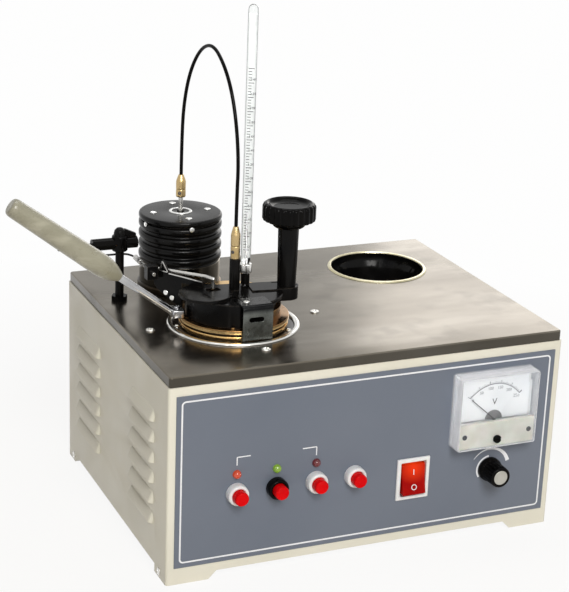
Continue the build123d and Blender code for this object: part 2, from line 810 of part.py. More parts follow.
# ================================================================ stove
bath_top = plate_low
seat_bottom = plate_low + stove_plate_sheet
with BuildPart() as trim_ring:
    ring_mid = (trim_outer + trim_inner) / 2
    turned(cup_x, cup_y, [
        (trim_inner, casing_height), (trim_outer, casing_height), (trim_outer, casing_height + trim_proud * 0.5),
        (trim_outer - 1.0, casing_height + trim_proud * 0.9), (ring_mid, casing_height + trim_proud),
        (trim_inner + 0.6, casing_height + trim_proud * 0.9), (trim_inner, casing_height + trim_proud * 0.5)])

stove_screw_angles = [174.0, 100.0, 20.0, -40.0]
with BuildPart() as stove_plate:
    turned(cup_x, cup_y, [
        (cup_inner + cup_wall + seat_clearance, bath_top), (trim_inner - stove_plate_gap, bath_top),
        (trim_inner - stove_plate_gap, seat_bottom), (cup_inner + cup_wall + seat_clearance, seat_bottom)])
    for angle in stove_screw_angles:
        x, y = around(cup_x, cup_y, seat_radius + 2.3, angle)
        column(x, y, seat_bottom, seat_bottom + 1.3, 1.9)

with BuildPart() as seat_ring:
    bore = cup_inner + cup_wall + seat_clearance
    turned(cup_x, cup_y, [
        (bore, seat_bottom), (seat_spigot, seat_bottom), (seat_spigot, seat_height),
        (seat_radius, seat_height), (seat_radius, seat_height + seat_thick), (bore, seat_height + seat_thick)])

with BuildPart() as cup_gasket:
    turned(cup_x, cup_y, [
        (bore, seat_height + seat_thick), (gasket_radius, seat_height + seat_thick),
        (gasket_radius, seat_height + seat_thick + gasket_thick), (bore, seat_height + seat_thick + gasket_thick)])

with BuildPart() as air_bath:
    turned(cup_x, cup_y, [
        (0, bath_bottom), (bath_outer, bath_bottom), (bath_outer, bath_top - bath_rim_thick),
        (bath_rim, bath_top - bath_rim_thick), (bath_rim, bath_top), (bath_inner, bath_top),
        (bath_inner, bath_bottom + bath_outer - bath_inner), (0, bath_bottom + bath_outer - bath_inner)])
    turned(cup_x, cup_y, [
        (bath_outer - 1, heater_bottom), (bath_outer + heater_thick, heater_bottom),
        (bath_outer + heater_thick, heater_top), (bath_outer - 1, heater_top)])

jacket_inner = bath_outer + heater_thick + jacket_gap
jacket_outer = can_radius - can_wall - jacket_gap
with BuildPart() as insulation_jacket:
    low = can_bottom + can_wall
    turned(cup_x, cup_y, [
        (0, low), (jacket_outer, low), (jacket_outer, bath_top - bath_rim_thick - jacket_gap),
        (jacket_inner, bath_top - bath_rim_thick - jacket_gap), (jacket_inner, low + jacket_floor),
        (0, low + jacket_floor)])

with BuildPart() as stove_can:
    turned(cup_x, cup_y, [
        (0, can_bottom), (can_radius, can_bottom), (can_radius, plate_low - sheet), (can_flange, plate_low - sheet),
        (can_flange, plate_low), (can_radius - can_wall, plate_low),
        (can_radius - can_wall, can_bottom + can_wall), (0, can_bottom + can_wall)])

# ================================================================ test cup
cup_low = cup_flange_bottom - below_flange
cup_rim = cup_low + cup_floor + cup_depth
cup_outer = cup_inner + cup_wall
with BuildPart() as test_cup:
    turned(cup_x, cup_y, [
        (0, cup_low), (cup_outer - 1, cup_low), (cup_outer, cup_low + 1), (cup_outer, cup_flange_bottom),
        (flange_radius, cup_flange_bottom), (flange_radius, cup_flange_top), (cup_outer, cup_flange_top),
        (cup_outer, cup_rim), (cup_inner, cup_rim), (cup_inner, cup_low + cup_floor), (0, cup_low + cup_floor)])
    sector(cup_x, cup_y, cup_flange_top, cup_flange_top + lug_height, lug_inner, lug_outer, lug_start, lug_sweep)
    pin_x, pin_y = around(cup_x, cup_y, flange_radius - 1.25 * pin_radius, pin_angle)
    column(pin_x, pin_y, cup_flange_top, cup_flange_top + pin_height, pin_radius)

root_point = Vector(*place(*handle_root))
handle_plane = Plane(origin=root_point, x_dir=(-handle_dir.Y, handle_dir.X, 0), z_dir=handle_dir)


def along_handle(outline, mode=Mode.ADD):
    """A body of revolution about the handle's line; the outline is (radius, distance along it)."""
    side = Plane(origin=root_point, x_dir=handle_plane.x_dir, z_dir=-handle_plane.y_dir)
    with BuildSketch(side) as half:
        with BuildLine():
            Polyline(*outline, close=True)
        make_face()
    revolve(half.sketch, axis=Axis(root_point, handle_dir), mode=mode)


with BuildPart() as cup_handle:
    with BuildSketch(Plane.XY.offset(cup_flange_top)) as saddle:
        with Locations(Location((*place(cup_x, cup_y)[:2], 0), (0, 0, handle_angle))):
            with Locations((bracket_inner + bracket_reach / 2, 0)):
                RectangleRounded(bracket_reach, bracket_width, bracket_corner)
    extrude(saddle.sketch, amount=bracket_height)
    along_handle([(0, rod_start), (rod_radius, rod_start), (rod_radius, rod_show), (0, rod_show)])
    with Locations(Location((*place(*around(cup_x, cup_y, bracket_inner + bracket_reach / 2, handle_angle)),
                            ))):
        with Locations((0, 0, cup_flange_top + bracket_height)):
            Cylinder(bracket_screw_radius, bracket_screw_proud, align=(Align.CENTER, Align.CENTER, Align.MIN))

with BuildPart() as cup_grip:
    end = handle_length
    along_handle([
        (0, rod_show), (grip_tip_radius - 0.8, rod_show), (grip_tip_radius, rod_show + 1.2),
        (grip_full_radius * 0.75, rod_show + grip_taper * 0.4),
        (grip_full_radius * 0.94, rod_show + grip_taper * 0.7), (grip_full_radius, rod_show + grip_taper),
        (grip_full_radius - 0.2, rod_show + grip_taper * 2), (grip_end_radius, end), (0, end)])
    fillet(cup_grip.edges().sort_by(Axis.Z)[-1], radius=grip_round)

# ================================================================ cover
skirt_low = cup_flange_top + skirt_gap
lid_low = cup_rim + lid_gap
lid_top = lid_low + lid_thick
plate_under = lid_top + shutter_room
cover_top = plate_under + cover_plate
knob_x = cup_x + knob_dx
knob_y = cup_y + knob_dy
knob_distance = hypot(knob_dx, knob_dy)
knob_bearing = degrees(atan2(knob_dy, knob_dx))
swing_out = crank_radius * sin(radians(crank_swing))
swing_in = knob_distance - crank_radius * cos(radians(crank_swing))
shutter_turn = degrees(atan2(swing_out, swing_in)) * 2
pin_bearing = knob_bearing + shutter_turn / 2
thermo_x = cup_x + thermo_dx
thermo_y = cup_y + thermo_dy
thermo_circle = hypot(thermo_dx, thermo_dy)
thermo_bearing = degrees(atan2(thermo_dy, thermo_dx))
arm_top = cover_top + arm_rise


def ports(low, high, turn):
    """The flame port and its two side ports, turned about the cup's axis."""
    with BuildSketch(Plane.XY.offset(low)) as holes:
        with Locations(Location((*place(cup_x, cup_y)[:2], 0), (0, 0, port_angle + turn))):
            with Locations((port_radius_at, 0)):
                RectangleRounded(port_length, port_width, 1.5)
        for spread in (-side_port_spread, side_port_spread):
            with Locations(place(*around(cup_x, cup_y, port_radius_at, port_angle + turn + spread))[:2]):
                Circle(side_port_radius)
    extrude(holes.sketch, amount=high - low, mode=Mode.SUBTRACT)


with BuildPart() as cover_body:
    turned(cup_x, cup_y, [
        (skirt_inner, skirt_low), (cover_radius, skirt_low), (cover_radius, cover_top - 0.6),
        (cover_radius - 0.6, cover_top), (0, cover_top), (0, plate_under),
        (cover_radius - cover_wall, plate_under), (cover_radius - cover_wall, lid_top), (0, lid_top),
        (0, lid_low), (skirt_inner, lid_low)])
    sector(cup_x, cup_y, skirt_low - 1, plate_under, skirt_inner, cover_radius + 2,
           window_start, window_sweep, Mode.SUBTRACT)
    arm_plane = Plane(origin=place(cup_x, cup_y, plate_under),
                      x_dir=(cos(radians(knob_bearing)), sin(radians(knob_bearing)), 0), z_dir=(0, 0, 1))
    with BuildSketch(arm_plane) as arm:
        with Locations((knob_distance * 0.65, 0)):
            Rectangle(knob_distance * 0.7, 2 * arm_half_width)
        with Locations((knob_distance, 0)):
            Circle(post_top_radius + 1)
    extrude(arm.sketch, amount=arm_top - plate_under)
    ports(lid_low - 1, arm_top + 1, 0)
    column(cup_x, cup_y, lid_low - stirrer_tube_below, stirrer_tube_top, stirrer_tube_radius)
    column(thermo_x, thermo_y, arm_top, neck_top, neck_radius)
    turned(knob_x, knob_y, [(0, arm_top), (post_foot_radius, arm_top), (post_top_radius, post_top), (0, post_top)])
    column(cup_x, cup_y, lid_low - stirrer_tube_below - 1, stirrer_tube_top + 1, stirrer_bore, Mode.SUBTRACT)
    column(thermo_x, thermo_y, lid_low - 1, neck_top + 1, stem_radius + stem_clearance, Mode.SUBTRACT)
    column(knob_x, knob_y, plate_under - 1, post_top + 1, spindle_radius + spindle_gap, Mode.SUBTRACT)

with BuildPart() as thermometer_collar:
    column(thermo_x, thermo_y, neck_top, thermo_collar_top, thermo_collar_radius)
    column(thermo_x, thermo_y, neck_top - 1, thermo_collar_top + 1, stem_radius + stem_clearance, Mode.SUBTRACT)

with BuildPart() as front_clip:
    clip_back = cup_y - flange_radius - skirt_gap
    block(cup_x + clip_left, cup_x + clip_left + clip_width, clip_back - clip_thick, clip_back,
          clip_drop, cover_top + clip_rise)
    block(cup_x + clip_left, cup_x + clip_left + clip_width, clip_back - clip_thick, clip_back + clip_reach,
          cover_top, cover_top + clip_rise)
    with BuildSketch(Plane(origin=place(cup_x + clip_left + clip_width * 0.45, clip_back - clip_thick,
                                        skirt_low + 8), x_dir=(1, 0, 0), z_dir=(0, -1, 0))) as clip_slot:
        SlotOverall(clip_slot_length, clip_slot_width)
    extrude(clip_slot.sketch, amount=-clip_thick, mode=Mode.SUBTRACT)

# ================================================================ shutter, knob and linkage
shutter_low = lid_top + shutter_gap
shutter_high = shutter_low + shutter_thick
crank_low = shutter_high + shutter_gap
crank_high = crank_low + crank_thick
slot_inner = knob_distance - crank_radius - crank_pin_radius - shutter_gap
with BuildPart() as shutter:
    turned(cup_x, cup_y, [
        (stirrer_tube_radius + shutter_bore_gap, shutter_low), (shutter_radius, shutter_low),
        (shutter_radius, shutter_high), (stirrer_tube_radius + shutter_bore_gap, shutter_high)])
    sector(cup_x, cup_y, shutter_low, shutter_high, shutter_radius - 6, ear_radius,
           pin_bearing - ear_half_angle, 2 * ear_half_angle)
    ports(shutter_low - 1, shutter_high + 1, shutter_turn)
    slot_half = stem_radius + 0.6
    with BuildSketch(Plane.XY.offset(shutter_low - 1)) as cuts:
        SlotArc(CenterArc(place(cup_x, cup_y)[:2], thermo_circle, thermo_bearing - 3, shutter_turn + 6),
                2 * slot_half)
        pin_x2, pin_y2 = around(cup_x, cup_y, (slot_inner + ear_radius) / 2, pin_bearing)
        with Locations(Location((*place(pin_x2, pin_y2)[:2], 0), (0, 0, pin_bearing))):
            Rectangle(ear_radius - slot_inner + 0.02, 2 * slot_side)
    extrude(cuts.sketch, amount=shutter_thick + 2, mode=Mode.SUBTRACT)

crank_bearing = knob_bearing + 180 - crank_swing
pin_place = around(knob_x, knob_y, crank_radius, crank_bearing)
with BuildPart() as knob_spindle:
    column(knob_x, knob_y, crank_low, knob_neck_top, spindle_radius)
    column(knob_x, knob_y, crank_low, crank_high, crank_hub_radius)
    with BuildSketch(Plane.XY.offset(crank_low)) as crank:
        with Locations(Location((*place(*around(knob_x, knob_y, crank_radius / 2, crank_bearing))[:2], 0),
                                (0, 0, crank_bearing))):
            Rectangle(crank_radius, crank_width)
        with Locations(place(*pin_place)[:2]):
            Circle(crank_width / 2)
    extrude(crank.sketch, amount=crank_thick)
    column(*pin_place, shutter_low, crank_low, crank_pin_radius)

with BuildPart() as shutter_knob:
    turned(knob_x, knob_y, [
        (spindle_radius, post_top + knob_gap), (knob_neck_radius - 2, post_top + knob_gap),
        (knob_neck_radius, post_top + knob_gap + 2.5), (knob_neck_radius, knob_neck_top),
        (knob_radius - 1, knob_neck_top), (knob_radius, knob_neck_top + 1),
        (knob_radius, knob_top - 2), (knob_radius - 2, knob_top - 0.3), (dish_radius + 0.6, knob_top),
        (dish_radius - 1.5, knob_top - dish_depth * 0.8), (dish_radius - 5, knob_top - dish_depth),
        (0, knob_top - dish_depth), (0, knob_neck_top), (spindle_radius, knob_neck_top)])
    with BuildSketch(Plane.XY.offset(knob_neck_top)) as flutes:
        with Locations(place(knob_x, knob_y)[:2]):
            with PolarLocations(knob_radius + flute_radius * 0.45, knob_flutes):
                Circle(flute_radius)
    extrude(flutes.sketch, amount=knob_top - knob_neck_top, mode=Mode.SUBTRACT)

# ================================================================ thermometer
with BuildPart() as thermometer:
    turned(thermo_x, thermo_y, [
        (0, bulb_bottom), (stem_radius * 0.6, bulb_bottom + 0.4), (stem_radius, bulb_bottom + 2.5),
        (stem_radius, sheath_bottom), (sheath_radius, sheath_bottom), (sheath_radius, sheath_top - 3),
        (sheath_radius * 0.8, sheath_top - 1.2), (sheath_radius * 0.4, sheath_top), (0, sheath_top)])

# ================================================================ stirrer and flexible drive
with BuildPart() as stirrer_shaft:
    column(cup_x, cup_y, stirrer_bottom, ferrule_bottom + 4, shaft_radius)
    for height, reach in ((stirrer_bottom + 3, lower_blade_reach), (upper_blade_height, upper_blade_reach)):
        column(cup_x, cup_y, height - 3, height + 3, shaft_radius + 1.2)
        for turn in (0, 180):
            blade_mid = (shaft_radius + reach) / 2
            bx, by = around(cup_x, cup_y, blade_mid, turn)
            with Locations(Location(place(bx, by, height), (blade_pitch * (1 if turn else -1), 0, 0))):
                Box(reach - shaft_radius, blade_width, blade_thick)

with BuildPart() as stirrer_ferrule:
    turned(cup_x, cup_y, [
        (shaft_radius, ferrule_bottom), (ferrule_radius, ferrule_bottom), (ferrule_radius, ferrule_shoulder),
        (ferrule_neck, ferrule_top), (0, ferrule_top), (0, ferrule_bottom + 4), (shaft_radius, ferrule_bottom + 4)])

coupling_seat = coupling_bottom + coupling_socket
with BuildPart() as shaft_coupling:
    turned(motor_x, motor_y, [
        (spindle_motor_radius + turning_gap, coupling_bottom), (coupling_radius - 0.6, coupling_bottom),
        (coupling_radius, coupling_bottom + 0.8), (coupling_radius, coupling_shoulder),
        (ferrule_neck, coupling_top), (0, coupling_top), (0, coupling_seat),
        (spindle_motor_radius + turning_gap, coupling_seat)])

run_x = cup_x - motor_x
run_y = cup_y - motor_y
arch_span = hypot(run_x, run_y)
arch = [
    (0.0, 0.0), (0.0, 27.5), (2.6, 55.0), (12.5, 81.0), (30.0, 100.5), (49.0, 105.8),
    (66.5, 95.0), (79.5, 78.5), (88.0, 56.5), (92.3, 31.5), (arch_span, 8.0), (arch_span, ferrule_top - coupling_top)]
arch_points = [
    place(motor_x + run_x * s / arch_span, motor_y + run_y * s / arch_span, coupling_top + rise)
    for s, rise in arch]
drive_radii = corner_radii(arch_points)
with BuildPart() as drive_shaft:
    with BuildLine() as drive_line:
        FilletPolyline(*arch_points, radius=drive_radii)
    with BuildSketch(Plane(origin=arch_points[0], z_dir=(0, 0, 1))):
        Circle(drive_radius)
    sweep()
print("drive shaft radii", [round(r, 1) for r in drive_radii])
print("drive shaft length", round(drive_line.wire().length, 2),
      "volume over section", round(drive_shaft.part.volume / (pi * drive_radius**2), 2))

# ================================================================ motor
with BuildPart() as motor_base:
    column(motor_x, motor_y, casing_height, casing_height + motor_base_thick, motor_base_radius)
    column(motor_x, motor_y, plate_low - motor_spigot, casing_height, motor_inner / 2 - seam)
    column(motor_x, motor_y, plate_low - motor_spigot - 1, casing_height + motor_base_thick + 1,
           spindle_motor_radius + turning_gap, Mode.SUBTRACT)

motor_low = casing_height + motor_base_thick
motor_outline = [(motor_inner, motor_low), (motor_body_radius, motor_low), (motor_body_radius, motor_plain_top)]
for centre in [first_rib + rib_pitch * i for i in range(rib_count)]:
    motor_outline += [
        (motor_groove_radius, centre - rib_thick / 2 - 0.6), (motor_radius - rib_round, centre - rib_thick / 2),
        (motor_radius, centre - rib_thick / 2 + rib_round), (motor_radius, centre + rib_thick / 2 - rib_round),
        (motor_radius - rib_round, centre + rib_thick / 2), (motor_groove_radius, centre + rib_thick / 2 + 0.6)]
motor_outline += [
    (motor_radius, motor_top - 3.6), (motor_radius, motor_top - 0.6), (motor_radius - 0.6, motor_top),
    (boss_outer, motor_top), (boss_outer, motor_top - 0.01),
    (spindle_motor_radius + 1.0, motor_top - 0.01), (spindle_motor_radius + 1.0, motor_top - motor_roof),
    (motor_inner, motor_top - motor_roof)]
rotor_top = rotor_bottom + rotor_length
with BuildPart() as motor_housing:
    turned(motor_x, motor_y, motor_outline)
    turned(motor_x, motor_y, [
        (stator_inner, rotor_bottom), (motor_inner + 0.5, rotor_bottom), (motor_inner + 0.5, rotor_top),
        (stator_inner, rotor_top)])

with BuildPart() as motor_screws:
    turned(motor_x, motor_y, [
        (spindle_motor_radius + turning_gap, motor_top), (boss_outer, motor_top),
        (boss_outer, motor_top + boss_height), (boss_outer - 2, motor_top + boss_height),
        (boss_outer - 2.4, motor_top + 0.2), (spindle_motor_radius + turning_gap, motor_top + 0.2)])
    for turn in range(4):
        x, y = around(motor_x, motor_y, motor_screw_circle, -3 + 90 * turn)
        column(x, y, motor_top, motor_top + motor_screw_proud, motor_screw_radius)
    for angle in side_fixing_angles:
        x0, y0 = around(motor_x, motor_y, motor_radius, angle)
        x1, y1 = around(motor_x, motor_y, motor_radius + 0.8, angle)
        bar_between(place(x0, y0, side_fixing_height), place(x1, y1, side_fixing_height), side_fixing_radius)

with BuildPart() as motor_spindle:
    column(motor_x, motor_y, plate_low - spindle_foot, coupling_seat - spindle_end_gap, spindle_motor_radius)
    column(motor_x, motor_y, rotor_bottom, rotor_top, rotor_radius)

# ================================================================ gas valve, hose and burner
with BuildPart() as gas_valve:
    column(valve_x, valve_y, plate_low - valve_tail, valve_height, valve_post_radius)
    with BuildSketch(Plane.XY.offset(casing_height)) as nut:
        with Locations(place(valve_x, valve_y)[:2]):
            RegularPolygon(valve_nut_radius, 6)
    extrude(nut.sketch, amount=valve_nut_height)
    bar_between(place(valve_x - valve_left_reach, valve_y, valve_height),
                place(valve_x + valve_right_reach, valve_y, valve_height), valve_bar_radius)
    bar_between(place(valve_x - valve_left_reach - nozzle_reach, valve_y, valve_height),
                place(valve_x - valve_left_reach, valve_y, valve_height), nozzle_radius)

with BuildPart() as valve_knob:
    low = valve_height + valve_bar_radius + knob_gap
    turned(valve_x, valve_y, [
        (0, low), (dome_radius, low), (dome_radius, dome_top - dome_radius), (dome_radius * 0.87, dome_top - 2.2),
        (dome_radius * 0.5, dome_top - 0.6), (0, dome_top)])
    with BuildSketch(Plane(origin=place(valve_x, valve_y + wing_thick / 2), x_dir=(1, 0, 0),
                           z_dir=(0, -1, 0))) as wing:
        with BuildLine():
            Polyline((0, low), (wing_length, low), (wing_length, low + 2.2), (dome_radius, dome_top - 1.6),
                     (0, dome_top - 1.0), close=True)
        make_face()
    extrude(wing.sketch, amount=wing_thick)

with BuildPart() as gas_feed:
    feed_points = [
        place(valve_x, valve_y, plate_low - valve_tail), place(valve_x, valve_y, feed_low),
        place(valve_x, casing_depth + barb_nut_thick, feed_low)]
    with BuildLine():
        FilletPolyline(*feed_points, radius=feed_bend)
    with BuildSketch(Plane(origin=feed_points[0], z_dir=(0, 0, -1))):
        Circle(feed_radius)
    sweep()
    with BuildSketch(Plane(origin=place(valve_x, casing_depth, feed_low), x_dir=(1, 0, 0),
                           z_dir=(0, 1, 0))) as barb_nut:
        RegularPolygon(barb_nut_radius, 6)
    extrude(barb_nut.sketch, amount=barb_nut_thick)
    bar_between(place(valve_x, casing_depth + barb_nut_thick, feed_low),
                place(valve_x, casing_depth + barb_nut_thick + barb_length, feed_low), barb_radius)

nozzle_tip_x = valve_x - valve_left_reach - nozzle_reach
hose_route = [
    (nozzle_tip_x, valve_y, valve_height), (nozzle_tip_x - 10, valve_y, valve_height),
    (nozzle_tip_x - 18, valve_y + 5.7, valve_height - 3), (nozzle_tip_x - 17.5, valve_y + 14.2, valve_height - 6.2),
    (nozzle_tip_x - 8.5, valve_y + 17.2, gas_tube_z + 2.6), (nozzle_tip_x + 1.5, valve_y + 12, gas_tube_z + 1.6),
    (nozzle_tip_x + 11, valve_y + 5.8, gas_tube_z + 1), (nozzle_tip_x + 20, valve_y + 4.2, gas_tube_z + 1.1),
    (nozzle_tip_x + 28.5, valve_y + 5.1, gas_tube_z + 1), (gas_tube_x - 1.6, valve_y + 1.8, gas_tube_z + 0.5),
    (gas_tube_x, gas_tube_rear + 9, gas_tube_z),
    (gas_tube_x, gas_tube_rear, gas_tube_z)]
hose_points = [place(*p) for p in hose_route]
hose_radii = corner_radii(hose_points)
with BuildPart() as gas_hose:
    with BuildLine() as hose_line:
        FilletPolyline(*hose_points, radius=hose_radii)
    with BuildSketch(Plane(origin=hose_points[0], z_dir=(-1, 0, 0))):
        Circle(hose_radius)
    sweep()
print("hose radii", [round(r, 1) for r in hose_radii])
print("hose length", round(hose_line.wire().length, 2),
      "volume over section", round(gas_hose.part.volume / (pi * hose_radius**2), 2))

disc_top = cover_top + disc_thick
flame_x, flame_y = around(cup_x, cup_y, port_radius_at, port_angle)
with BuildPart() as burner_plate:
    column(disc_x, disc_y, cover_top, disc_top, disc_radius)
    ports(cover_top - 1, disc_top + 1, 0)
    column(cup_x, cup_y, cover_top - 1, disc_top + 1, stirrer_tube_radius, Mode.SUBTRACT)
    block(cup_x + clip_left - 1, cup_x + clip_left + clip_width + 1, clip_back - 2, clip_back + clip_reach + 1,
          cover_top - 1, disc_top + 1, Mode.SUBTRACT)

shield_run = hypot(shield_end_x - shield_x, shield_end_y - shield_y)
shield_dir = ((shield_end_x - shield_x) / shield_run, (shield_end_y - shield_y) / shield_run)
with BuildPart() as burner_bracket:
    shield_plane = Plane(origin=place(shield_x, shield_y), x_dir=(*shield_dir, 0),
                         z_dir=(shield_dir[1], -shield_dir[0], 0))
    with BuildSketch(shield_plane) as shield:
        with BuildLine():
            Polyline((-shield_left_lead, shield_top), (shield_run, shield_top - shield_slope), (shield_run, disc_top),
                     (shield_foot_along, disc_top), (shield_foot_along, shield_foot),
                     (shield_foot_along - shield_foot_tail, shield_foot + shield_tail_rise),
                     (0, shield_left_low), (-shield_left_lead, shield_left_low + shield_left_rise), close=True)
        make_face()
    extrude(shield.sketch, amount=-shield_thick)
    block(gas_tube_x - pivot_block_width / 2, shield_x - pivot_gap,
          pivot_block_y - pivot_block_depth / 2, pivot_block_y + pivot_block_depth / 2,
          gas_tube_z - pivot_block_height / 2, gas_tube_z + pivot_block_height / 2)
    with BuildSketch(shield_plane) as gusset:
        with BuildLine():
            Polyline((gusset_start, shield_top - gusset_start), (gusset_end, shield_top - gusset_low),
                     (gusset_peak_along, shield_top + gusset_peak), close=True)
        make_face()
    extrude(gusset.sketch, amount=-shield_thick)
    forward_bar(gas_tube_x, gas_tube_z, -pivot_block_y - pivot_block_depth, -pivot_block_y + pivot_block_depth,
                gas_tube_radius + gas_tube_bore_gap, Mode.SUBTRACT)

with BuildPart() as cover_screws:
    sx, sy = cup_x + clip_left + clip_screw_in, clip_back + clip_screw_back
    column(sx, sy, cover_top + clip_rise, cover_top + clip_rise + clip_screw_proud, clip_screw_radius)
    sx, sy = around(knob_x, knob_y, post_top_radius - arm_screw_in, arm_screw_bearing)
    column(sx, sy, plate_under - arm_screw_drop, plate_under, arm_screw_radius)
    for along, drop in shield_screws:
        sx = shield_x + along * shield_dir[0]
        sy = shield_y + along * shield_dir[1]
        out = (shield_dir[1] * shield_screw_proud, -shield_dir[0] * shield_screw_proud)
        height = shield_top - drop
        bar_between(place(sx, sy, height), place(sx + out[0], sy + out[1], height), shield_screw_radius)

with BuildPart() as burner:
    arm_x = shield_x - arm_offset * shield_dir[1]
    arm_y = shield_y + arm_offset * shield_dir[0]
    arm_start = (gas_tube_x - arm_x) / shield_dir[0]
    arm_z = gas_tube_z + arm_rise_height
    root = place(gas_tube_x, arm_y + arm_start * shield_dir[1], gas_tube_z)
    elbow = place(arm_x + shield_run * shield_dir[0], arm_y + shield_run * shield_dir[1], arm_z)
    forward_bar(gas_tube_x, gas_tube_z, -gas_tube_rear, -gas_tube_front, gas_tube_radius)
    bar_between(root, elbow, gas_tube_radius)
    bar_between(elbow, place(flame_x, flame_y, arm_z), gas_tube_radius)
    with Locations(elbow, place(flame_x, flame_y, arm_z)):
        Sphere(gas_tube_radius)
    column(flame_x, flame_y, disc_top + jet_clear, arm_z, jet_radius)

# ================================================================ cooling well and fan
mouth_low = casing_height - well_mouth_depth
with BuildPart() as cooling_well:
    turned(well_x, well_y, [
        (0, well_bottom), (well_radius + well_wall, well_bottom), (well_radius + well_wall, mouth_low - 3),
        (well_mouth + well_wall, mouth_low + 3), (well_mouth + well_wall, casing_height),
        (well_mouth, casing_height), (well_mouth, mouth_low + 3), (well_radius, mouth_low - 3),
        (well_radius, well_bottom + well_wall), (0, well_bottom + well_wall)])
    with BuildSketch(Plane.XY.offset(well_bottom - 1)) as vents:
        with Locations(place(well_x, well_y)[:2]):
            with PolarLocations(well_vent_circle, well_vents):
                Circle(well_vent_radius)
    extrude(vents.sketch, amount=well_wall + 2, mode=Mode.SUBTRACT)

with BuildPart() as well_trim:
    turned(well_x, well_y, [
        (well_mouth, casing_height), (well_rim + 1.0, casing_height), (well_rim, casing_height + well_rim_thick),
        (well_mouth + 0.4, casing_height + well_rim_thick)])

fan_low = well_bottom - fan_depth
with BuildPart() as fan_frame:
    block(well_x - fan_side / 2, well_x + fan_side / 2, well_y - fan_side / 2, well_y + fan_side / 2,
          fan_low, well_bottom)
    fillet(fan_frame.edges().filter_by(Axis.Z), radius=4)
    column(well_x, well_y, fan_low - 1, well_bottom + 1, fan_bore, Mode.SUBTRACT)
    with BuildSketch(Plane.XY.offset(fan_low)) as spokes:
        with Locations(place(well_x, well_y)[:2]):
            Circle(fan_hub)
            Rectangle(2 * fan_bore + 2, fan_spoke_width)
            Rectangle(fan_spoke_width, 2 * fan_bore + 2)
    extrude(spokes.sketch, amount=fan_spoke_thick)
    column(well_x, well_y, fan_low, fan_low + fan_spoke_thick + 6, fan_pin_radius)

with BuildPart() as fan_rotor:
    rotor_low = fan_low + fan_spoke_thick + 0.5
    rotor_high = well_bottom - 1.5
    column(well_x, well_y, rotor_low, rotor_high, fan_hub)
    for blade in range(fan_blades):
        turn = 360 / fan_blades * blade
        reach = fan_bore - fan_wall_gap
        bx, by = around(well_x, well_y, (fan_hub + reach) / 2, turn)
        with Locations(Location(place(bx, by, (rotor_low + rotor_high) / 2), (0, 0, turn))):
            with Locations(Location((0, 0, 0), (40, 0, 0))):
                Box(reach - fan_hub - 1.5, 14, 1.4)
        hx, hy = around(well_x, well_y, fan_hub, turn)
        with Locations(Location(place(hx, hy, (rotor_low + rotor_high) / 2), (0, 0, turn))):
            with Locations(Location((0, 0, 0), (40, 0, 0))):
                Box(4, 8, 1.4)
    column(well_x, well_y, rotor_low - 1, fan_low + fan_spoke_thick + 6.5, fan_pin_radius + turning_gap,
           Mode.SUBTRACT)

# ================================================================ rear fittings and inner parts
with BuildPart() as mains_inlet:
    half_w, half_h = inlet_width / 2, inlet_height / 2
    block(inlet_x - half_w - inlet_flange, inlet_x + half_w + inlet_flange, casing_depth,
          casing_depth + inlet_proud, inlet_z - half_h - inlet_flange, inlet_z + half_h + inlet_flange)
    block(inlet_x - half_w, inlet_x + half_w, casing_depth - inlet_depth, casing_depth,
          inlet_z - half_h, inlet_z + half_h)
    block(inlet_x - half_w + 2, inlet_x + half_w - 2, casing_depth - inlet_socket_depth,
          casing_depth + inlet_proud + 1, inlet_z - half_h + 2, inlet_z + half_h - 2, Mode.SUBTRACT)
    for dx, dz in ((-7, -2), (0, 2), (7, -2)):
        block(inlet_x + dx - 1, inlet_x + dx + 1, casing_depth - inlet_socket_depth - 1, casing_depth - 2,
              inlet_z + dz - 2, inlet_z + dz + 2)

with BuildPart() as fuse_holder:
    forward_bar(fuse_x, inlet_z, -casing_depth - fuse_proud, -casing_depth, fuse_radius)
    forward_bar(fuse_x, inlet_z, -casing_depth, -casing_depth + fuse_depth, fuse_radius - 1)
    block(fuse_x - fuse_radius, fuse_x + fuse_radius, casing_depth + fuse_proud - 1.2, casing_depth + fuse_proud + 1,
          inlet_z - 0.7, inlet_z + 0.7, Mode.SUBTRACT)

floor_top = foot_height + sheet
with BuildPart() as transformer:
    half = transformer_size / 2
    block(transformer_x - half, transformer_x + half, transformer_y - half * 0.6, transformer_y + half * 0.6,
          floor_top, floor_top + transformer_height)
    block(transformer_x - half * 0.6, transformer_x + half * 0.6, transformer_y - half, transformer_y + half,
          floor_top + 7, floor_top + transformer_height - 7)

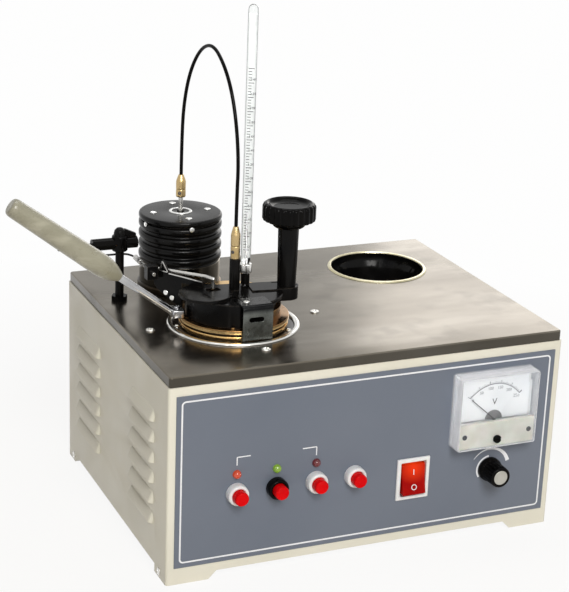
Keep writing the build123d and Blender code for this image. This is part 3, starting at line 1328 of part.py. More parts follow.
# ================================================================ output
pieces = {
    "casing_shell": casing_shell, "base_plate": base_plate, "casing_screws": casing_screws,
    "front_panel": front_panel, "steel_top": steel_top, "button_collars": button_collars,
    "lamps": lamps, "rocker_bezel": rocker_bezel, "rocker_key": rocker_key, "meter_case": meter_case,
    "meter_base": meter_base, "meter_dial": meter_dial, "meter_needle": meter_needle,
    "zero_adjuster": zero_adjuster, "heat_knob": heat_knob, "potentiometer": potentiometer,
    "trim_ring": trim_ring, "stove_plate": stove_plate, "seat_ring": seat_ring,
    "cup_gasket": cup_gasket, "air_bath": air_bath, "insulation_jacket": insulation_jacket,
    "stove_can": stove_can, "test_cup": test_cup, "cup_handle": cup_handle, "cup_grip": cup_grip,
    "cover_body": cover_body, "thermometer_collar": thermometer_collar, "front_clip": front_clip,
    "shutter": shutter, "knob_spindle": knob_spindle, "shutter_knob": shutter_knob,
    "cover_screws": cover_screws, "thermometer": thermometer, "stirrer_shaft": stirrer_shaft,
    "stirrer_ferrule": stirrer_ferrule, "shaft_coupling": shaft_coupling, "drive_shaft": drive_shaft,
    "motor_base": motor_base, "motor_housing": motor_housing, "motor_screws": motor_screws,
    "motor_spindle": motor_spindle, "gas_valve": gas_valve, "valve_knob": valve_knob,
    "gas_feed": gas_feed, "gas_hose": gas_hose, "burner_plate": burner_plate,
    "burner_bracket": burner_bracket, "burner": burner, "cooling_well": cooling_well,
    "well_trim": well_trim, "fan_frame": fan_frame, "fan_rotor": fan_rotor, "mains_inlet": mains_inlet,
    "fuse_holder": fuse_holder, "transformer": transformer}
for name, piece in pieces.items():
    piece.part.label = name
for piece in button_caps:
    pieces[piece.part.label] = piece
os.makedirs("parts", exist_ok=True)
for name, piece in pieces.items():
    export_step(piece.part, f"parts/{name}.step")
print(len(pieces), "pieces; shutter turns", round(shutter_turn, 3), "origin at", round(-left, 3), round(-front, 3))
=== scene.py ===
# %% [markdown]
# # A flash point tester in Blender
# This lesson dresses a bench flash point tester: a cream sheet casing, a slate control panel, a stove with a
# brass test cup, a black cover with its stirrer and thermometer, a ribbed motor and a cooling well.
# The engineering model is loaded first and stays fixed. It could be rendered as it is, but every visible part
# gets its own finish, and the parts that show most are made again with softer edges and finer detail.

# %% Load the engineering model
import bpy
import bmesh
import json
import math
import numpy as np
from mathutils import Matrix


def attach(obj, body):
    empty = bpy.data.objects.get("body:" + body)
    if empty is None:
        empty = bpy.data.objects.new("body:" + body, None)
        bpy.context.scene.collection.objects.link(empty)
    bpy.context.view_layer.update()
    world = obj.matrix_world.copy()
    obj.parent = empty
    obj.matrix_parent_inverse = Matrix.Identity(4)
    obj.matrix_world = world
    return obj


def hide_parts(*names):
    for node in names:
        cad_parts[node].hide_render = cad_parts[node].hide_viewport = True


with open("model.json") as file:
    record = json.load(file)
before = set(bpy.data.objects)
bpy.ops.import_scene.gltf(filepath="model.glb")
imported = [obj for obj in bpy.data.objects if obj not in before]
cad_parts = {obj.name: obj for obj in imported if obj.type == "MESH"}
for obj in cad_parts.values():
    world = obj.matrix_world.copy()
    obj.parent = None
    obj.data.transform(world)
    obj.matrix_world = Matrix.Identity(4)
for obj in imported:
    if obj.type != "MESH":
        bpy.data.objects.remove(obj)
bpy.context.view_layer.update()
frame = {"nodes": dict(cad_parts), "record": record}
record = frame["record"]
body_of = {node: body for body, members in record["behaviour"]["bodies"].items() for node in members}
slot_of = {part["node"]: part["material_slot"] for part in record["subparts"]}

# %% [markdown]
# ## Measuring from the casing's foot
# A maker measures this tester from the front left foot of its casing, in millimetres: X to the right, Y to
# the back, Z up. Blender wants metres from the middle of the footprint. Points could be turned into metres by
# hand, but one small function does it the same way every time. Round parts are placed by a radius and a
# bearing from the axis that they stand on, so those axes get names first.

# %% From the casing's foot to the scene
CORNER = np.array([-110.608, -114.7, 0.0])
WIDTH, TOP = 300.0, 152.5
CUP, STEM, POST = np.array([(79, 86, 0), (90, 93, 0), (117, 81, 0)], float)
MOTOR, VALVE, HOSE_END = np.array([(71, 177, 0), (17.1, 156.8, 0), (28.2, 140.5, 185)])
METER, HEAT_KNOB, SWITCH = np.array([(244, 0, 102), (247, 0, 52), (184.3, 0, 53.5)])
UP = np.array([0.0, 0.0, 1.0])


def at(points):
    """Millimetres from the casing's front left foot become metres in the scene: (point + corner) / 1000."""
    return (np.asarray(points, float) + CORNER) / 1000


def around(axis, radius, bearing, height=0.0):
    """A point beside an upright axis: axis + (radius * cos bearing, radius * sin bearing, height)."""
    turn = math.radians(bearing)
    return np.asarray(axis, float) + (radius * math.cos(turn), radius * math.sin(turn), height)


print("the cup's axis stands at", at(CUP))

# %% [markdown]
# ## The camera
# The photographer stood well back, to the left of the tester and a little above it, with a long lens. The
# camera could be placed by eye, but the casing's straight edges give its place and its turn exactly, so those
# numbers are used. Its three axes are the columns of its matrix: right, up, and away from the view.

# %% Camera
CAMERA_PLACE = (-0.46386, -1.0909, 0.5739)


def put(name, data):
    """A new object that shows this data, linked into the scene."""
    made = bpy.data.objects.new(name, data)
    bpy.context.scene.collection.objects.link(made)
    return made


def aimed(name, data, place, right, up, back):
    """An object whose matrix has its three axes and its place as columns."""
    pose = np.eye(4)
    pose[:3] = np.column_stack([right, up, back, place])
    made = put(name, data)
    made.matrix_world = Matrix(pose.tolist())
    return made


yaw, pitch, roll = np.radians([-23.93, -19.23, -2.27])
turn_z = np.array([[math.cos(yaw), -math.sin(yaw), 0], [math.sin(yaw), math.cos(yaw), 0], [0, 0, 1]])
turn_x = np.array([[1, 0, 0], [0, math.cos(pitch), -math.sin(pitch)], [0, math.sin(pitch), math.cos(pitch)]])
turn_y = np.array([[math.cos(roll), 0, math.sin(roll)], [0, 1, 0], [-math.sin(roll), 0, math.cos(roll)]])
right, ahead, above = (turn_z @ turn_x @ turn_y).T
lens = bpy.data.cameras.new("photographer")
lens.sensor_fit, lens.sensor_width, lens.lens = "HORIZONTAL", 36, 108.45
lens.clip_start, lens.clip_end = 0.05, 30
bpy.context.scene.camera = aimed("photographer", lens, CAMERA_PLACE, right, above, -ahead)
print("camera looks along", ahead.round(3))

# %% [markdown]
# ## The two cords
# The stirrer is driven by a thin flexible shaft that leaves the motor straight up, turns over in a high arch
# and comes down on the stirrer. A thin rubber hose brings gas from the valve to the flame tube. Each could be
# a row of straight tubes, but a real cord bends smoothly, so each is one NURBS line with few points.

# %% Flexible shaft and gas hose
SHAFT_RADIUS, HOSE_RADIUS = 0.0013, 0.00075
SPAN = np.linalg.norm(CUP - MOTOR)
shaft_runs = np.array([(0, 238.5), (0, 266), (2.6, 293.5), (12.5, 319.5), (30, 339), (49, 344.3),
                       (66.5, 333.5), (79.5, 317), (88, 295), (92.3, 270), (SPAN, 246.5), (SPAN, 224.4)])
shaft_route = at(MOTOR + np.outer(shaft_runs[:, 0] / SPAN, CUP - MOTOR) + np.outer(shaft_runs[:, 1], UP))
hose_route = at([(-8, 156.8, 196), (-18, 156.8, 196), (-26, 162.5, 193), (-25.5, 171, 189.8),
                 (-16.5, 174, 187.6), (-6.5, 168.8, 186.6), (3, 162.6, 186), (12, 161, 186.1),
                 (20.5, 161.9, 186), (26.6, 158.6, 185.5), (28.2, 149.5, 185), HOSE_END])


def cord_line(name, route, radius):
    """One round cord: a NURBS line of order 3 through its route, its bevel of 1 times each point's radius."""
    line = bpy.data.curves.new(name, "CURVE")
    line.dimensions, line.bevel_depth, line.bevel_resolution, line.use_fill_caps = "3D", 1, 5, True
    spline = line.splines.new("NURBS")
    spline.points.add(len(route) - 1)
    spline.points.foreach_set("co", np.column_stack([route, np.ones(len(route))]).ravel())
    spline.points.foreach_set("radius", np.full(len(route), radius))
    spline.order_u, spline.use_endpoint_u, spline.resolution_u = 3, True, 16
    return put(name, line)


drive_cord = cord_line("flexible_shaft", shaft_route, SHAFT_RADIUS)
hose_cord = cord_line("gas_tube_hose", hose_route, HOSE_RADIUS)
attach(drive_cord, "cover")
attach(hose_cord, "casing")
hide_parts("drive_shaft")
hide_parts("gas_hose")
print("cord points:", len(shaft_route), len(hose_route))

# %% [markdown]
# ## A workbench for finishes
# A finish is a material: one Principled shader with small patterns wired into its colour, its roughness and
# its bumps. Every node could be made and linked by hand, but a few helpers make it a line each. Plain numbers
# go straight on the shader, and only what changes over the surface is wired in.

# %% Finish helpers
def new_finish(name, **plain):
    """A material whose Principled shader has these plain values, sockets named with _ for spaces."""
    finish = bpy.data.materials.new(name)
    finish.use_nodes = True
    shader = finish.node_tree.nodes["Principled BSDF"]
    for socket, value in plain.items():
        shader.inputs[socket.replace("_", " ")].default_value = value
    return finish


def add(finish, kind, links=None, **fields):
    """Adds a node: fields are its own settings, links give an input a number or another node's output."""
    node = finish.node_tree.nodes.new("ShaderNode" + kind)
    for field, value in fields.items():
        setattr(node, field, value)
    for socket, value in (links or {}).items():
        if isinstance(value, bpy.types.NodeSocket):
            finish.node_tree.links.new(value, node.inputs[socket])
        else:
            node.inputs[socket].default_value = value
    return node


def wire(finish, **sockets):
    """Wires outputs into the Principled shader's sockets."""
    shader = finish.node_tree.nodes["Principled BSDF"]
    for socket, output in sockets.items():
        finish.node_tree.links.new(output, shader.inputs[socket.replace("_", " ")])


def here(finish):
    """The object's own coordinates, in metres."""
    return add(finish, "TexCoord").outputs["Object"]


def along(finish, axis):
    """One of the object's own coordinates, in metres."""
    return add(finish, "SeparateXYZ", {"Vector": here(finish)}).outputs[axis]


def distance(finish, point):
    """How far each place is from one point, in metres."""
    return add(finish, "VectorMath", {0: here(finish), 1: point}, operation="DISTANCE").outputs["Value"]


print("a finish starts from one Principled shader")

# %% [markdown]
# ## Patterns and wear
# Cloudy paint, brushed grain and rubbed edges all start from a number that changes over the surface. It could
# come from a photograph, but worked-out noise needs no file and never repeats. A ramp turns the number into a
# colour, a range turns it into a roughness, and a bump turns it into a tilted surface.

# %% Patterns and wear
def cloud(finish, scale, stretch=(1, 1, 1), detail=4.0, seed=0.0):
    """Noise over the object's own coordinates: scale is its lumps in a metre, stretch draws it out."""
    drawn = add(finish, "Mapping", {"Vector": here(finish), "Scale": stretch, "Location": (seed, seed, seed)})
    noise = add(finish, "TexNoise", {"Vector": drawn.outputs["Vector"], "Scale": scale, "Detail": detail})
    return noise.outputs["Fac"]


def between(finish, factor, low, high, start=0.35, stop=0.65):
    """A number that goes from low to high as the factor goes from start to stop."""
    return add(finish, "MapRange", {"Value": factor, "From Min": start, "From Max": stop,
                                    "To Min": low, "To Max": high}).outputs["Result"]


def shade(finish, factor, dark, light, start=0.3, stop=0.7):
    """A colour that goes from dark to light as the factor goes from start to stop."""
    ramp = add(finish, "ValToRGB", {"Fac": factor})
    low, high = ramp.color_ramp.elements
    low.position, high.position = start, stop
    low.color, high.color = (*dark, 1), (*light, 1)
    return ramp.outputs["Color"]


def bumps(finish, height, strength, depth):
    """A normal that is tilted as if the height pattern stood up by depth millimetres."""
    return add(finish, "Bump", {"Height": height, "Strength": strength,
                                "Distance": depth / 1000}).outputs["Normal"]


def edge_wear_and_glow(finish, radius):
    """From 0 on flat places to 1 on edges: how far a normal rounded over a radius leans from the true one."""
    rounded = add(finish, "Bevel", {"Radius": radius / 1000}, samples=4).outputs["Normal"]
    true = add(finish, "NewGeometry").outputs["Normal"]
    same = add(finish, "VectorMath", {0: rounded, 1: true}, operation="DOT_PRODUCT").outputs["Value"]
    return between(finish, same, 0.0, 1.0, 0.99, 0.94)


def over(finish, factor, under, top):
    """The top colour laid over the under one by the factor."""
    return add(finish, "MixRGB", {"Fac": factor, "Color1": under, "Color2": (*top, 1)}).outputs["Color"]


def times(finish, one, two):
    """Two factors multiplied."""
    return add(finish, "Math", {0: one, 1: two}, operation="MULTIPLY").outputs["Value"]


def lay_on(finish, factor, share, span, colour):
    """Lays a colour over what feeds Base Color. Its share changes over a span of the factor."""
    under = finish.node_tree.nodes["Principled BSDF"].inputs["Base Color"].links[0].from_socket
    wire(finish, Base_Color=over(finish, between(finish, factor, *share, *span), under, colour))


print("patterns are ready for paints, metals and plastics")

# %% [markdown]
# ## Paints
# The casing is sprayed cream, baked to a faint orange peel. The panel is a screen-printed slate plate with a
# fine tooth. Both could be one flat colour, but real paint is a little cloudy, dulls in patches and gathers
# dirt along its edges.

# %% Cream, slate and grip paint
cream = new_finish("cream_paint", Coat_Weight=0.25, Coat_Roughness=0.22, Specular_IOR_Level=0.45)
clean = shade(cream, cloud(cream, 14), (0.735, 0.715, 0.615), (0.79, 0.77, 0.675))
grime = times(cream, edge_wear_and_glow(cream, 0.35), between(cream, cloud(cream, 90, seed=3), 0.0, 0.35))
wire(cream, Base_Color=over(cream, grime, clean, (0.42, 0.39, 0.29)),
     Roughness=between(cream, cloud(cream, 40, seed=5), 0.36, 0.5),
     Normal=bumps(cream, cloud(cream, 900, detail=2), 0.25, 0.08))

slate = new_finish("slate_panel", Specular_IOR_Level=0.4)
wire(slate, Base_Color=shade(slate, cloud(slate, 8), (0.135, 0.158, 0.205), (0.157, 0.180, 0.228)),
     Roughness=between(slate, cloud(slate, 30, seed=2), 0.38, 0.52),
     Normal=bumps(slate, cloud(slate, 2600, detail=1), 0.3, 0.03))

grip_paint = new_finish("grip_paint", Coat_Weight=0.3, Coat_Roughness=0.15)
lacquer = shade(grip_paint, cloud(grip_paint, 60), (0.265, 0.252, 0.182), (0.325, 0.312, 0.235))
rubbed = between(grip_paint, cloud(grip_paint, 45, (1, 3, 3), seed=7), 0.0, 0.4, 0.52, 0.68)
wire(grip_paint, Base_Color=over(grip_paint, rubbed, lacquer, (0.50, 0.48, 0.38)),
     Roughness=between(grip_paint, cloud(grip_paint, 140), 0.22, 0.42),
     Normal=bumps(grip_paint, cloud(grip_paint, 500), 0.2, 0.06))
print("paints:", cream.name, slate.name, grip_paint.name)

# %% [markdown]
# ## Metals
# The steel top is brushed along its length, so its grain is noise drawn out some eighty times in X, with pale
# and dark stains over it, and its lip is darkened as painted shade. Brass parts are turned and a little
# tarnished, the cover and the motor are enamelled black, and the stove plate is dulled by heat. One function
# could serve them all, but bare metal and an enamel that wears through to it differ enough to make two.

# %% Bare metals
def metal(name, dark, light, scale, rough, stretch=(1, 1, 1), bump=0.15, depth=0.03, grain=1500):
    """A bare metal: its colour clouds from dark to light, its roughness varies, and it has a fine grain."""
    finish = new_finish(name, Metallic=1.0)
    wire(finish, Base_Color=shade(finish, cloud(finish, scale), dark, light),
         Roughness=between(finish, cloud(finish, scale * 3, stretch, seed=4), *rough),
         Normal=bumps(finish, cloud(finish, grain, stretch, detail=3), bump, depth))
    return finish


brushed = metal("brushed_steel_top", (0.128, 0.112, 0.088), (0.205, 0.184, 0.150), 9, (0.18, 0.28),
                stretch=(0.012, 1, 1), bump=0.22, depth=0.012, grain=2400)
lay_on(brushed, cloud(brushed, 30, (0.3, 1, 1), seed=11), (0.0, 0.5), (0.5, 0.7), (0.27, 0.25, 0.215))
lay_on(brushed, cloud(brushed, 42, seed=13), (0.0, 0.45), (0.54, 0.72), (0.085, 0.074, 0.056))
# Painted shade: below the top's edge, the turned-down lip is laid over with a near-black brown.
lay_on(brushed, along(brushed, "Z"), (0.62, 0.0), (0.1512, 0.1519), (0.035, 0.032, 0.026))
rod_steel = metal("rod_steel", (0.33, 0.33, 0.34), (0.50, 0.50, 0.50), 60, (0.14, 0.26), bump=0.08)
steel = metal("machined_steel", (0.50, 0.49, 0.47), (0.66, 0.65, 0.62), 60, (0.18, 0.34))
chrome = metal("bright_steel", (0.62, 0.61, 0.58), (0.78, 0.77, 0.74), 50, (0.10, 0.24), bump=0.08)
brass = metal("brass", (0.56, 0.33, 0.11), (0.80, 0.55, 0.25), 45, (0.14, 0.30), bump=0.1)
cup_brass = metal("cup_brass", (0.58, 0.37, 0.14), (0.82, 0.60, 0.30), 45, (0.14, 0.28), bump=0.1)
# Painted shade: from the flange's upper edge up, the cup, its lug and its pin are laid over with dark brown,
# as shade under the cover.
lay_on(cup_brass, along(cup_brass, "Z"), (0.0, 0.80), (0.1594, 0.1601), (0.15, 0.055, 0.008))
pale_brass = metal("pale_brass", (0.46, 0.33, 0.15), (0.62, 0.47, 0.25), 90, (0.22, 0.40), bump=0.12)
pale_gold = metal("pale_gold", (0.52, 0.47, 0.30), (0.68, 0.63, 0.46), 60, (0.16, 0.3), bump=0.1)
bronze = metal("dark_bronze", (0.16, 0.10, 0.045), (0.30, 0.20, 0.095), 50, (0.22, 0.42), bump=0.15)
# Painted shade and painted reflection: the motor's foot is laid over with near black, and only its right side
# keeps its bronze, as a lit side.
lay_on(bronze, along(bronze, "X"), (0.93, 0.0), (-0.025, -0.006), (0.010, 0.009, 0.008))
clip_steel = metal("clip_steel", (0.10, 0.106, 0.098), (0.17, 0.178, 0.165), 90, (0.18, 0.34), bump=0.1)
# Painted dark reflection and shade: above the cover's top, the clip's fold and top plate are laid over with
# near black.
lay_on(clip_steel, along(clip_steel, "Z"), (0.0, 0.94), (0.1728, 0.1762), (0.006, 0.006, 0.007))
skirt_metal = metal("motor_skirt", (0.035, 0.031, 0.026), (0.075, 0.066, 0.052), 40, (0.14, 0.24), bump=0.08)
# Painted reflection: the skirt's right side is laid over with a pale grey-brown, as a lit side on the dark
# metal.
lay_on(skirt_metal, along(skirt_metal, "X"), (0.0, 0.80), (-0.0276, -0.0156), (0.26, 0.235, 0.195))
zinc = metal("galvanised_sheet", (0.42, 0.43, 0.43), (0.62, 0.63, 0.63), 120, (0.32, 0.5), bump=0.1)
iron = metal("cast_iron", (0.07, 0.065, 0.06), (0.14, 0.13, 0.12), 90, (0.5, 0.75), bump=0.5, depth=0.2,
             grain=400)
aluminium = metal("aluminium", (0.70, 0.70, 0.69), (0.84, 0.84, 0.82), 70, (0.2, 0.34))
print("bare metals, from", brushed.name, "to", aluminium.name)


# %% Black enamels
def enamel(name, dark, light, scale, rough, bare, wear, grain=700, bump=0.12, **plain):
    """A dark coat over metal: clouded colour, patchy gloss, and edges worn towards the bare colour."""
    finish = new_finish(name, **plain)
    rub = times(finish, edge_wear_and_glow(finish, 0.5), between(finish, cloud(finish, 260, seed=9), 0.0, wear))
    wire(finish, Base_Color=over(finish, rub, shade(finish, cloud(finish, scale), dark, light), bare),
         Roughness=between(finish, cloud(finish, scale * 2, seed=6), *rough),
         Normal=bumps(finish, cloud(finish, grain), bump, 0.05))
    return finish


black_metal = enamel("black_enamel", (0.002, 0.002, 0.0025), (0.006, 0.0055, 0.005), 50, (0.13, 0.25),
                     (0.12, 0.10, 0.08), 0.6, Specular_IOR_Level=0.10)
motor_black = enamel("motor_enamel", (0.002, 0.002, 0.0022), (0.006, 0.0055, 0.005), 40, (0.15, 0.28),
                     (0.10, 0.085, 0.07), 0.45, Specular_IOR_Level=0.15, bump=0.15, grain=900)
hot_black = enamel("stove_black", (0.006, 0.005, 0.0045), (0.020, 0.014, 0.010), 70, (0.12, 0.3),
                   (0.16, 0.09, 0.045), 0.5, Specular_IOR_Level=0.4)
print("enamels:", black_metal.name, motor_black.name, hot_black.name)

# %% [markdown]
# ## Plastics, rubber, glass and ink
# The buttons and the switch are glossy moulded plastic, the knobs are harder and duller, and the meter has a
# clear moulded case. A single colour would look like a toy, so each gets a faint cloud, a skin texture and
# its own gloss. Clear parts let the light through with the bend of their real material.

# %% Plastics, glass and ink
def plastic(name, dark, light, rough, scale=60, skin=1800, bump=0.12, **plain):
    """A moulded plastic: nearly even colour, patchy gloss and a faint moulded skin."""
    finish = new_finish(name, **plain)
    wire(finish, Base_Color=shade(finish, cloud(finish, scale), dark, light),
         Roughness=between(finish, cloud(finish, scale * 2, seed=8), *rough),
         Normal=bumps(finish, cloud(finish, skin, detail=2), bump, 0.03))
    return finish


white_plastic = plastic("white_plastic", (0.76, 0.77, 0.79), (0.86, 0.87, 0.89), (0.22, 0.36),
                        Subsurface_Weight=0.05, Subsurface_Scale=0.001)
red_plastic = plastic("red_plastic", (0.62, 0.000, 0.002), (0.78, 0.002, 0.004), (0.16, 0.28),
                      Specular_IOR_Level=0.07)
glow_red = plastic("switch_red", (0.30, 0.000, 0.000), (0.42, 0.003, 0.001), (0.12, 0.22), scale=45,
                   Specular_IOR_Level=0.08, Emission_Color=(1.0, 0.075, 0.006, 1))
from_lamp = distance(glow_red, at(SWITCH + 8.5 * UP).tolist())
wire(glow_red, Emission_Strength=between(glow_red, from_lamp, 0.62, 0.0, 0.0005, 0.0125))
black_plastic = plastic("black_plastic", (0.004, 0.004, 0.0045), (0.011, 0.010, 0.010), (0.24, 0.42),
                        Specular_IOR_Level=0.3)
gloss_black = plastic("knob_black", (0.0018, 0.0018, 0.002), (0.005, 0.0045, 0.004), (0.05, 0.12),
                      Specular_IOR_Level=0.06)
grey_plastic = plastic("grey_plastic", (0.16, 0.16, 0.17), (0.24, 0.24, 0.25), (0.35, 0.5))
rubber = plastic("black_rubber", (0.008, 0.008, 0.008), (0.02, 0.019, 0.018), (0.38, 0.55), bump=0.3,
                 Specular_IOR_Level=0.3)
clear = new_finish("clear_plastic", Transmission_Weight=1.0, IOR=1.38)
wire(clear, Base_Color=shade(clear, cloud(clear, 40), (0.93, 0.94, 0.94), (0.99, 0.99, 0.98)),
     Roughness=between(clear, cloud(clear, 120), 0.02, 0.09))
milky = new_finish("milky_plastic", Transmission_Weight=0.78, IOR=1.36, Specular_IOR_Level=0.5,
                   Emission_Color=(0.94, 0.96, 1.0, 1))
# Painted light: the meter case glows faintly all over, and more along its edges and rims, as painted
# highlights.
wire(milky, Emission_Strength=between(milky, edge_wear_and_glow(milky, 0.55), 0.07, 0.50, 0.2, 0.9),
     Base_Color=shade(milky, cloud(milky, 70), (0.90, 0.91, 0.93), (0.98, 0.98, 0.99)),
     Roughness=between(milky, cloud(milky, 150), 0.10, 0.26),
     Normal=bumps(milky, cloud(milky, 700, detail=2), 0.15, 0.05))
frosted = plastic("frosted_band", (0.60, 0.58, 0.50), (0.78, 0.77, 0.72), (0.4, 0.6), scale=70,
                  Subsurface_Weight=0.2, Subsurface_Scale=0.002)
glass = new_finish("thermometer_glass", Transmission_Weight=1.0, IOR=1.46)
# Painted shade: the sheath's colour turns dark grey where it is seen edge on, standing in for the dark edges
# that the glass's bend of light gives.
painted_rim_shade = add(glass, "LayerWeight", {"Blend": 0.5}).outputs["Facing"]
wire(glass, Base_Color=shade(glass, painted_rim_shade, (0.96, 0.98, 0.97), (0.16, 0.17, 0.17), 0.26, 0.66),
     Roughness=between(glass, cloud(glass, 200), 0.0, 0.04))
# Painted light: the scale plate glows faintly white, though no lamp lights it from behind.
milk_glass = plastic("milk_glass", (0.84, 0.85, 0.85), (0.92, 0.93, 0.93), (0.3, 0.5), scale=40,
                     Emission_Color=(1, 1, 1, 1), Emission_Strength=0.12)
# Painted light: the dial glows faintly, standing in for light that the meter's case holds back.
dial_white = plastic("dial_white", (0.86, 0.88, 0.92), (0.92, 0.93, 0.96), (0.4, 0.6), scale=30,
                     Emission_Color=(0.95, 0.97, 1, 1), Emission_Strength=0.06)
white_ink = plastic("white_ink", (0.80, 0.82, 0.87), (0.90, 0.91, 0.95), (0.4, 0.55))
dark_ink = plastic("dark_ink", (0.02, 0.02, 0.025), (0.07, 0.07, 0.08), (0.4, 0.6), scale=200)
grey_ink = plastic("grey_ink", (0.16, 0.17, 0.20), (0.30, 0.31, 0.35), (0.4, 0.6), scale=200)
wool = plastic("mineral_wool", (0.35, 0.30, 0.18), (0.62, 0.56, 0.38), (0.85, 1.0), scale=160, skin=900,
               bump=0.9)
print("plastics, glass and ink are mixed")

# %% [markdown]
# ## First coat
# Every part of the engineering model has a material slot of the record. Each gets the finish of its slot now,
# so that nothing is left bare, and the parts that are made again later bring finishes of their own.

# %% Give every engineering part its finish
FINISH_OF_SLOT = dict(
    cream_paint=cream, slate_panel=slate, brushed_steel=steel, galvanised=zinc, screw_steel=chrome,
    white_plastic=white_plastic, red_plastic=red_plastic, black_plastic=black_plastic,
    black_metal=black_metal, clear_plastic=clear, dial_white=dial_white, brass=brass, iron=iron,
    mineral_wool=wool, rubber=rubber, grip_paint=grip_paint, aluminium=aluminium, glass=glass, lens=glow_red)
OWN_FINISH = dict(
    steel_top=brushed, motor_housing=motor_black, stove_plate=hot_black, gas_valve=gloss_black,
    rocker_key=glow_red, front_clip=clip_steel, well_trim=pale_gold, motor_base=bronze,
    stirrer_ferrule=pale_brass, shaft_coupling=pale_brass, meter_base=white_plastic,
    zero_adjuster=gloss_black)


def finish_of(node):
    """The finish of a part: its own where it has one, or else its slot's."""
    return OWN_FINISH.get(node, FINISH_OF_SLOT[slot_of[node]])


for name, part in frame["nodes"].items():
    if not part.material_slots:
        part.data.materials.append(None)
    for pocket in part.material_slots:
        pocket.material = finish_of(name)
for cord, finish in ((drive_cord, gloss_black), (hose_cord, rubber)):
    cord.data.materials.append(finish)
print("first coat on", len(frame["nodes"]), "parts")

# %% [markdown]
# ## From points to pieces
# A shape here is a grid of points worked out as whole arrays. Rows of the grid are joined to their neighbours
# by four-cornered faces, and open ends are closed by fans. The enclosed volume tells which way the faces
# look: where it comes out negative, they are all turned round.

# %% Mesh helpers
def lattice(grid, wrap_rows=False, wrap_columns=True, caps=True):
    """(points, faces) of a grid: a face is (row, column) with its three neighbours, open ends get fans.
    Every face has four numbers, and a triangle's last one is -1."""
    rows, columns = grid.shape[:2]
    r = np.arange(rows if wrap_rows else rows - 1)[:, None]
    c = np.arange(columns if wrap_columns else columns - 1)[None, :]
    r2, c2 = (r + 1) % rows, (c + 1) % columns
    four = np.broadcast_arrays(r * columns + c, r * columns + c2, r2 * columns + c2, r2 * columns + c)
    faces = np.stack(four, -1).reshape(-1, 4)
    points = grid.reshape(-1, 3)
    if caps and not wrap_rows:
        ring = np.arange(columns)
        after = (ring + 1) % columns
        last = (rows - 1) * columns
        none, low, high = (np.full(columns, n) for n in (-1, len(points), len(points) + 1))
        faces = np.vstack([faces, np.stack([after, ring, low, none], -1),
                           np.stack([ring + last, after + last, high, none], -1)])
        points = np.vstack([points, grid[0].mean(0), grid[-1].mean(0)])
    return points, faces


def facing_out(points, faces):
    """Faces turned round where the volume, the sum of (a . b x c) / 6 over the triangles, is negative."""
    four = faces[faces[:, 3] >= 0][:, [0, 2, 3]]
    a, b, c = points[np.vstack([faces[:, :3], four]).T]
    if np.einsum("ij,ij->i", a, np.cross(b, c)).sum() < 0:
        three = faces[:, 3] < 0
        faces = np.where(three[:, None], faces[:, [2, 1, 0, 3]], faces[:, ::-1])
    return faces


def place_piece(name, mesh, finish, node, body=None):
    """Links a mesh, coats it, and lets it stand for a node or ride on a body."""
    made = put(name, mesh)
    mesh.materials.clear()
    mesh.materials.append(finish)
    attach(made, body_of[node] if node else body)
    if node:
        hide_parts(node)
    return made


def piece(name, shapes, finish, node=None, body="casing", sharp=35.0):
    """One object from several (points, faces) shapes in millimetres, which may stand for a node."""
    points, faces, count = [], [], 0
    for p, f in shapes:
        points.append(p)
        faces.append(np.where(f >= 0, facing_out(p, f) + count, -1))
        count += len(p)
    points, faces = np.vstack(points), np.vstack(faces)
    mesh = bpy.data.meshes.new(name)
    mesh.vertices.add(len(points))
    mesh.vertices.foreach_set("co", at(points).ravel())
    corners = faces[faces >= 0]
    sides = (faces >= 0).sum(1)
    mesh.loops.add(len(corners))
    mesh.loops.foreach_set("vertex_index", corners)
    mesh.polygons.add(len(faces))
    mesh.polygons.foreach_set("loop_start", np.concatenate([[0], np.cumsum(sides)[:-1]]))
    mesh.polygons.foreach_set("use_smooth", np.ones(len(faces), bool))
    mesh.update(calc_edges=True)
    mesh.validate()
    mesh.set_sharp_from_angle(angle=math.radians(sharp))
    return place_piece(name, mesh, finish, node, body)


print("mesh helpers are ready")

# %% [markdown]
# ## Axes and soft corners
# A shape is drawn lying on its own three axes and then stood up where it belongs: upright, facing the front
# of the casing, or looking out sideways. Its corners could be bevelled afterwards, but a corner that is a
# small curve from the start has exactly the roundness that it should have.

# %% Axes, corners and outlines
STANDING = np.eye(3)
TO_FRONT = np.array([(1, 0, 0), (0, 0, 1), (0, -1, 0)], float)


def facing(bearing):
    """Axes of a piece that looks out level along a bearing in degrees: right, up, out."""
    out = around((0, 0, 0), 1.0, bearing)
    return np.array([np.cross(UP, out), UP, out])


def level_along(way):
    """Axes of a piece that lies along a level direction: along, across, up."""
    return np.array([way, np.cross(UP, way), UP])


def stand(grid, centre, axes=STANDING):
    """Local (a, b, c) becomes centre + a * first axis + b * second + c * third."""
    return np.asarray(centre, float) + grid @ axes


def soften(corners, radius, steps=4, closed=False):
    """Each corner becomes a curve (1-t)^2 s + 2t(1-t) c + t^2 e between points a radius from the corner."""
    p = np.asarray(corners, float)
    c = p if closed else p[1:-1]
    before = np.roll(p, 1, 0) if closed else p[:-2]
    after = np.roll(p, -1, 0) if closed else p[2:]
    radius = np.broadcast_to(np.asarray(radius, float), (len(c),))[:, None]

    def step(other):
        run = np.linalg.norm(other - c, axis=1, keepdims=True)
        return c + (other - c) * np.minimum(radius, 0.48 * run) / run

    s, e = step(before)[:, None], step(after)[:, None]
    t = np.linspace(0, 1, steps)[None, :, None]
    arcs = ((1 - t) ** 2 * s + 2 * t * (1 - t) * c[:, None] + t ** 2 * e).reshape(-1, p.shape[1])
    return arcs if closed else np.vstack([p[:1], arcs, p[-1:]])


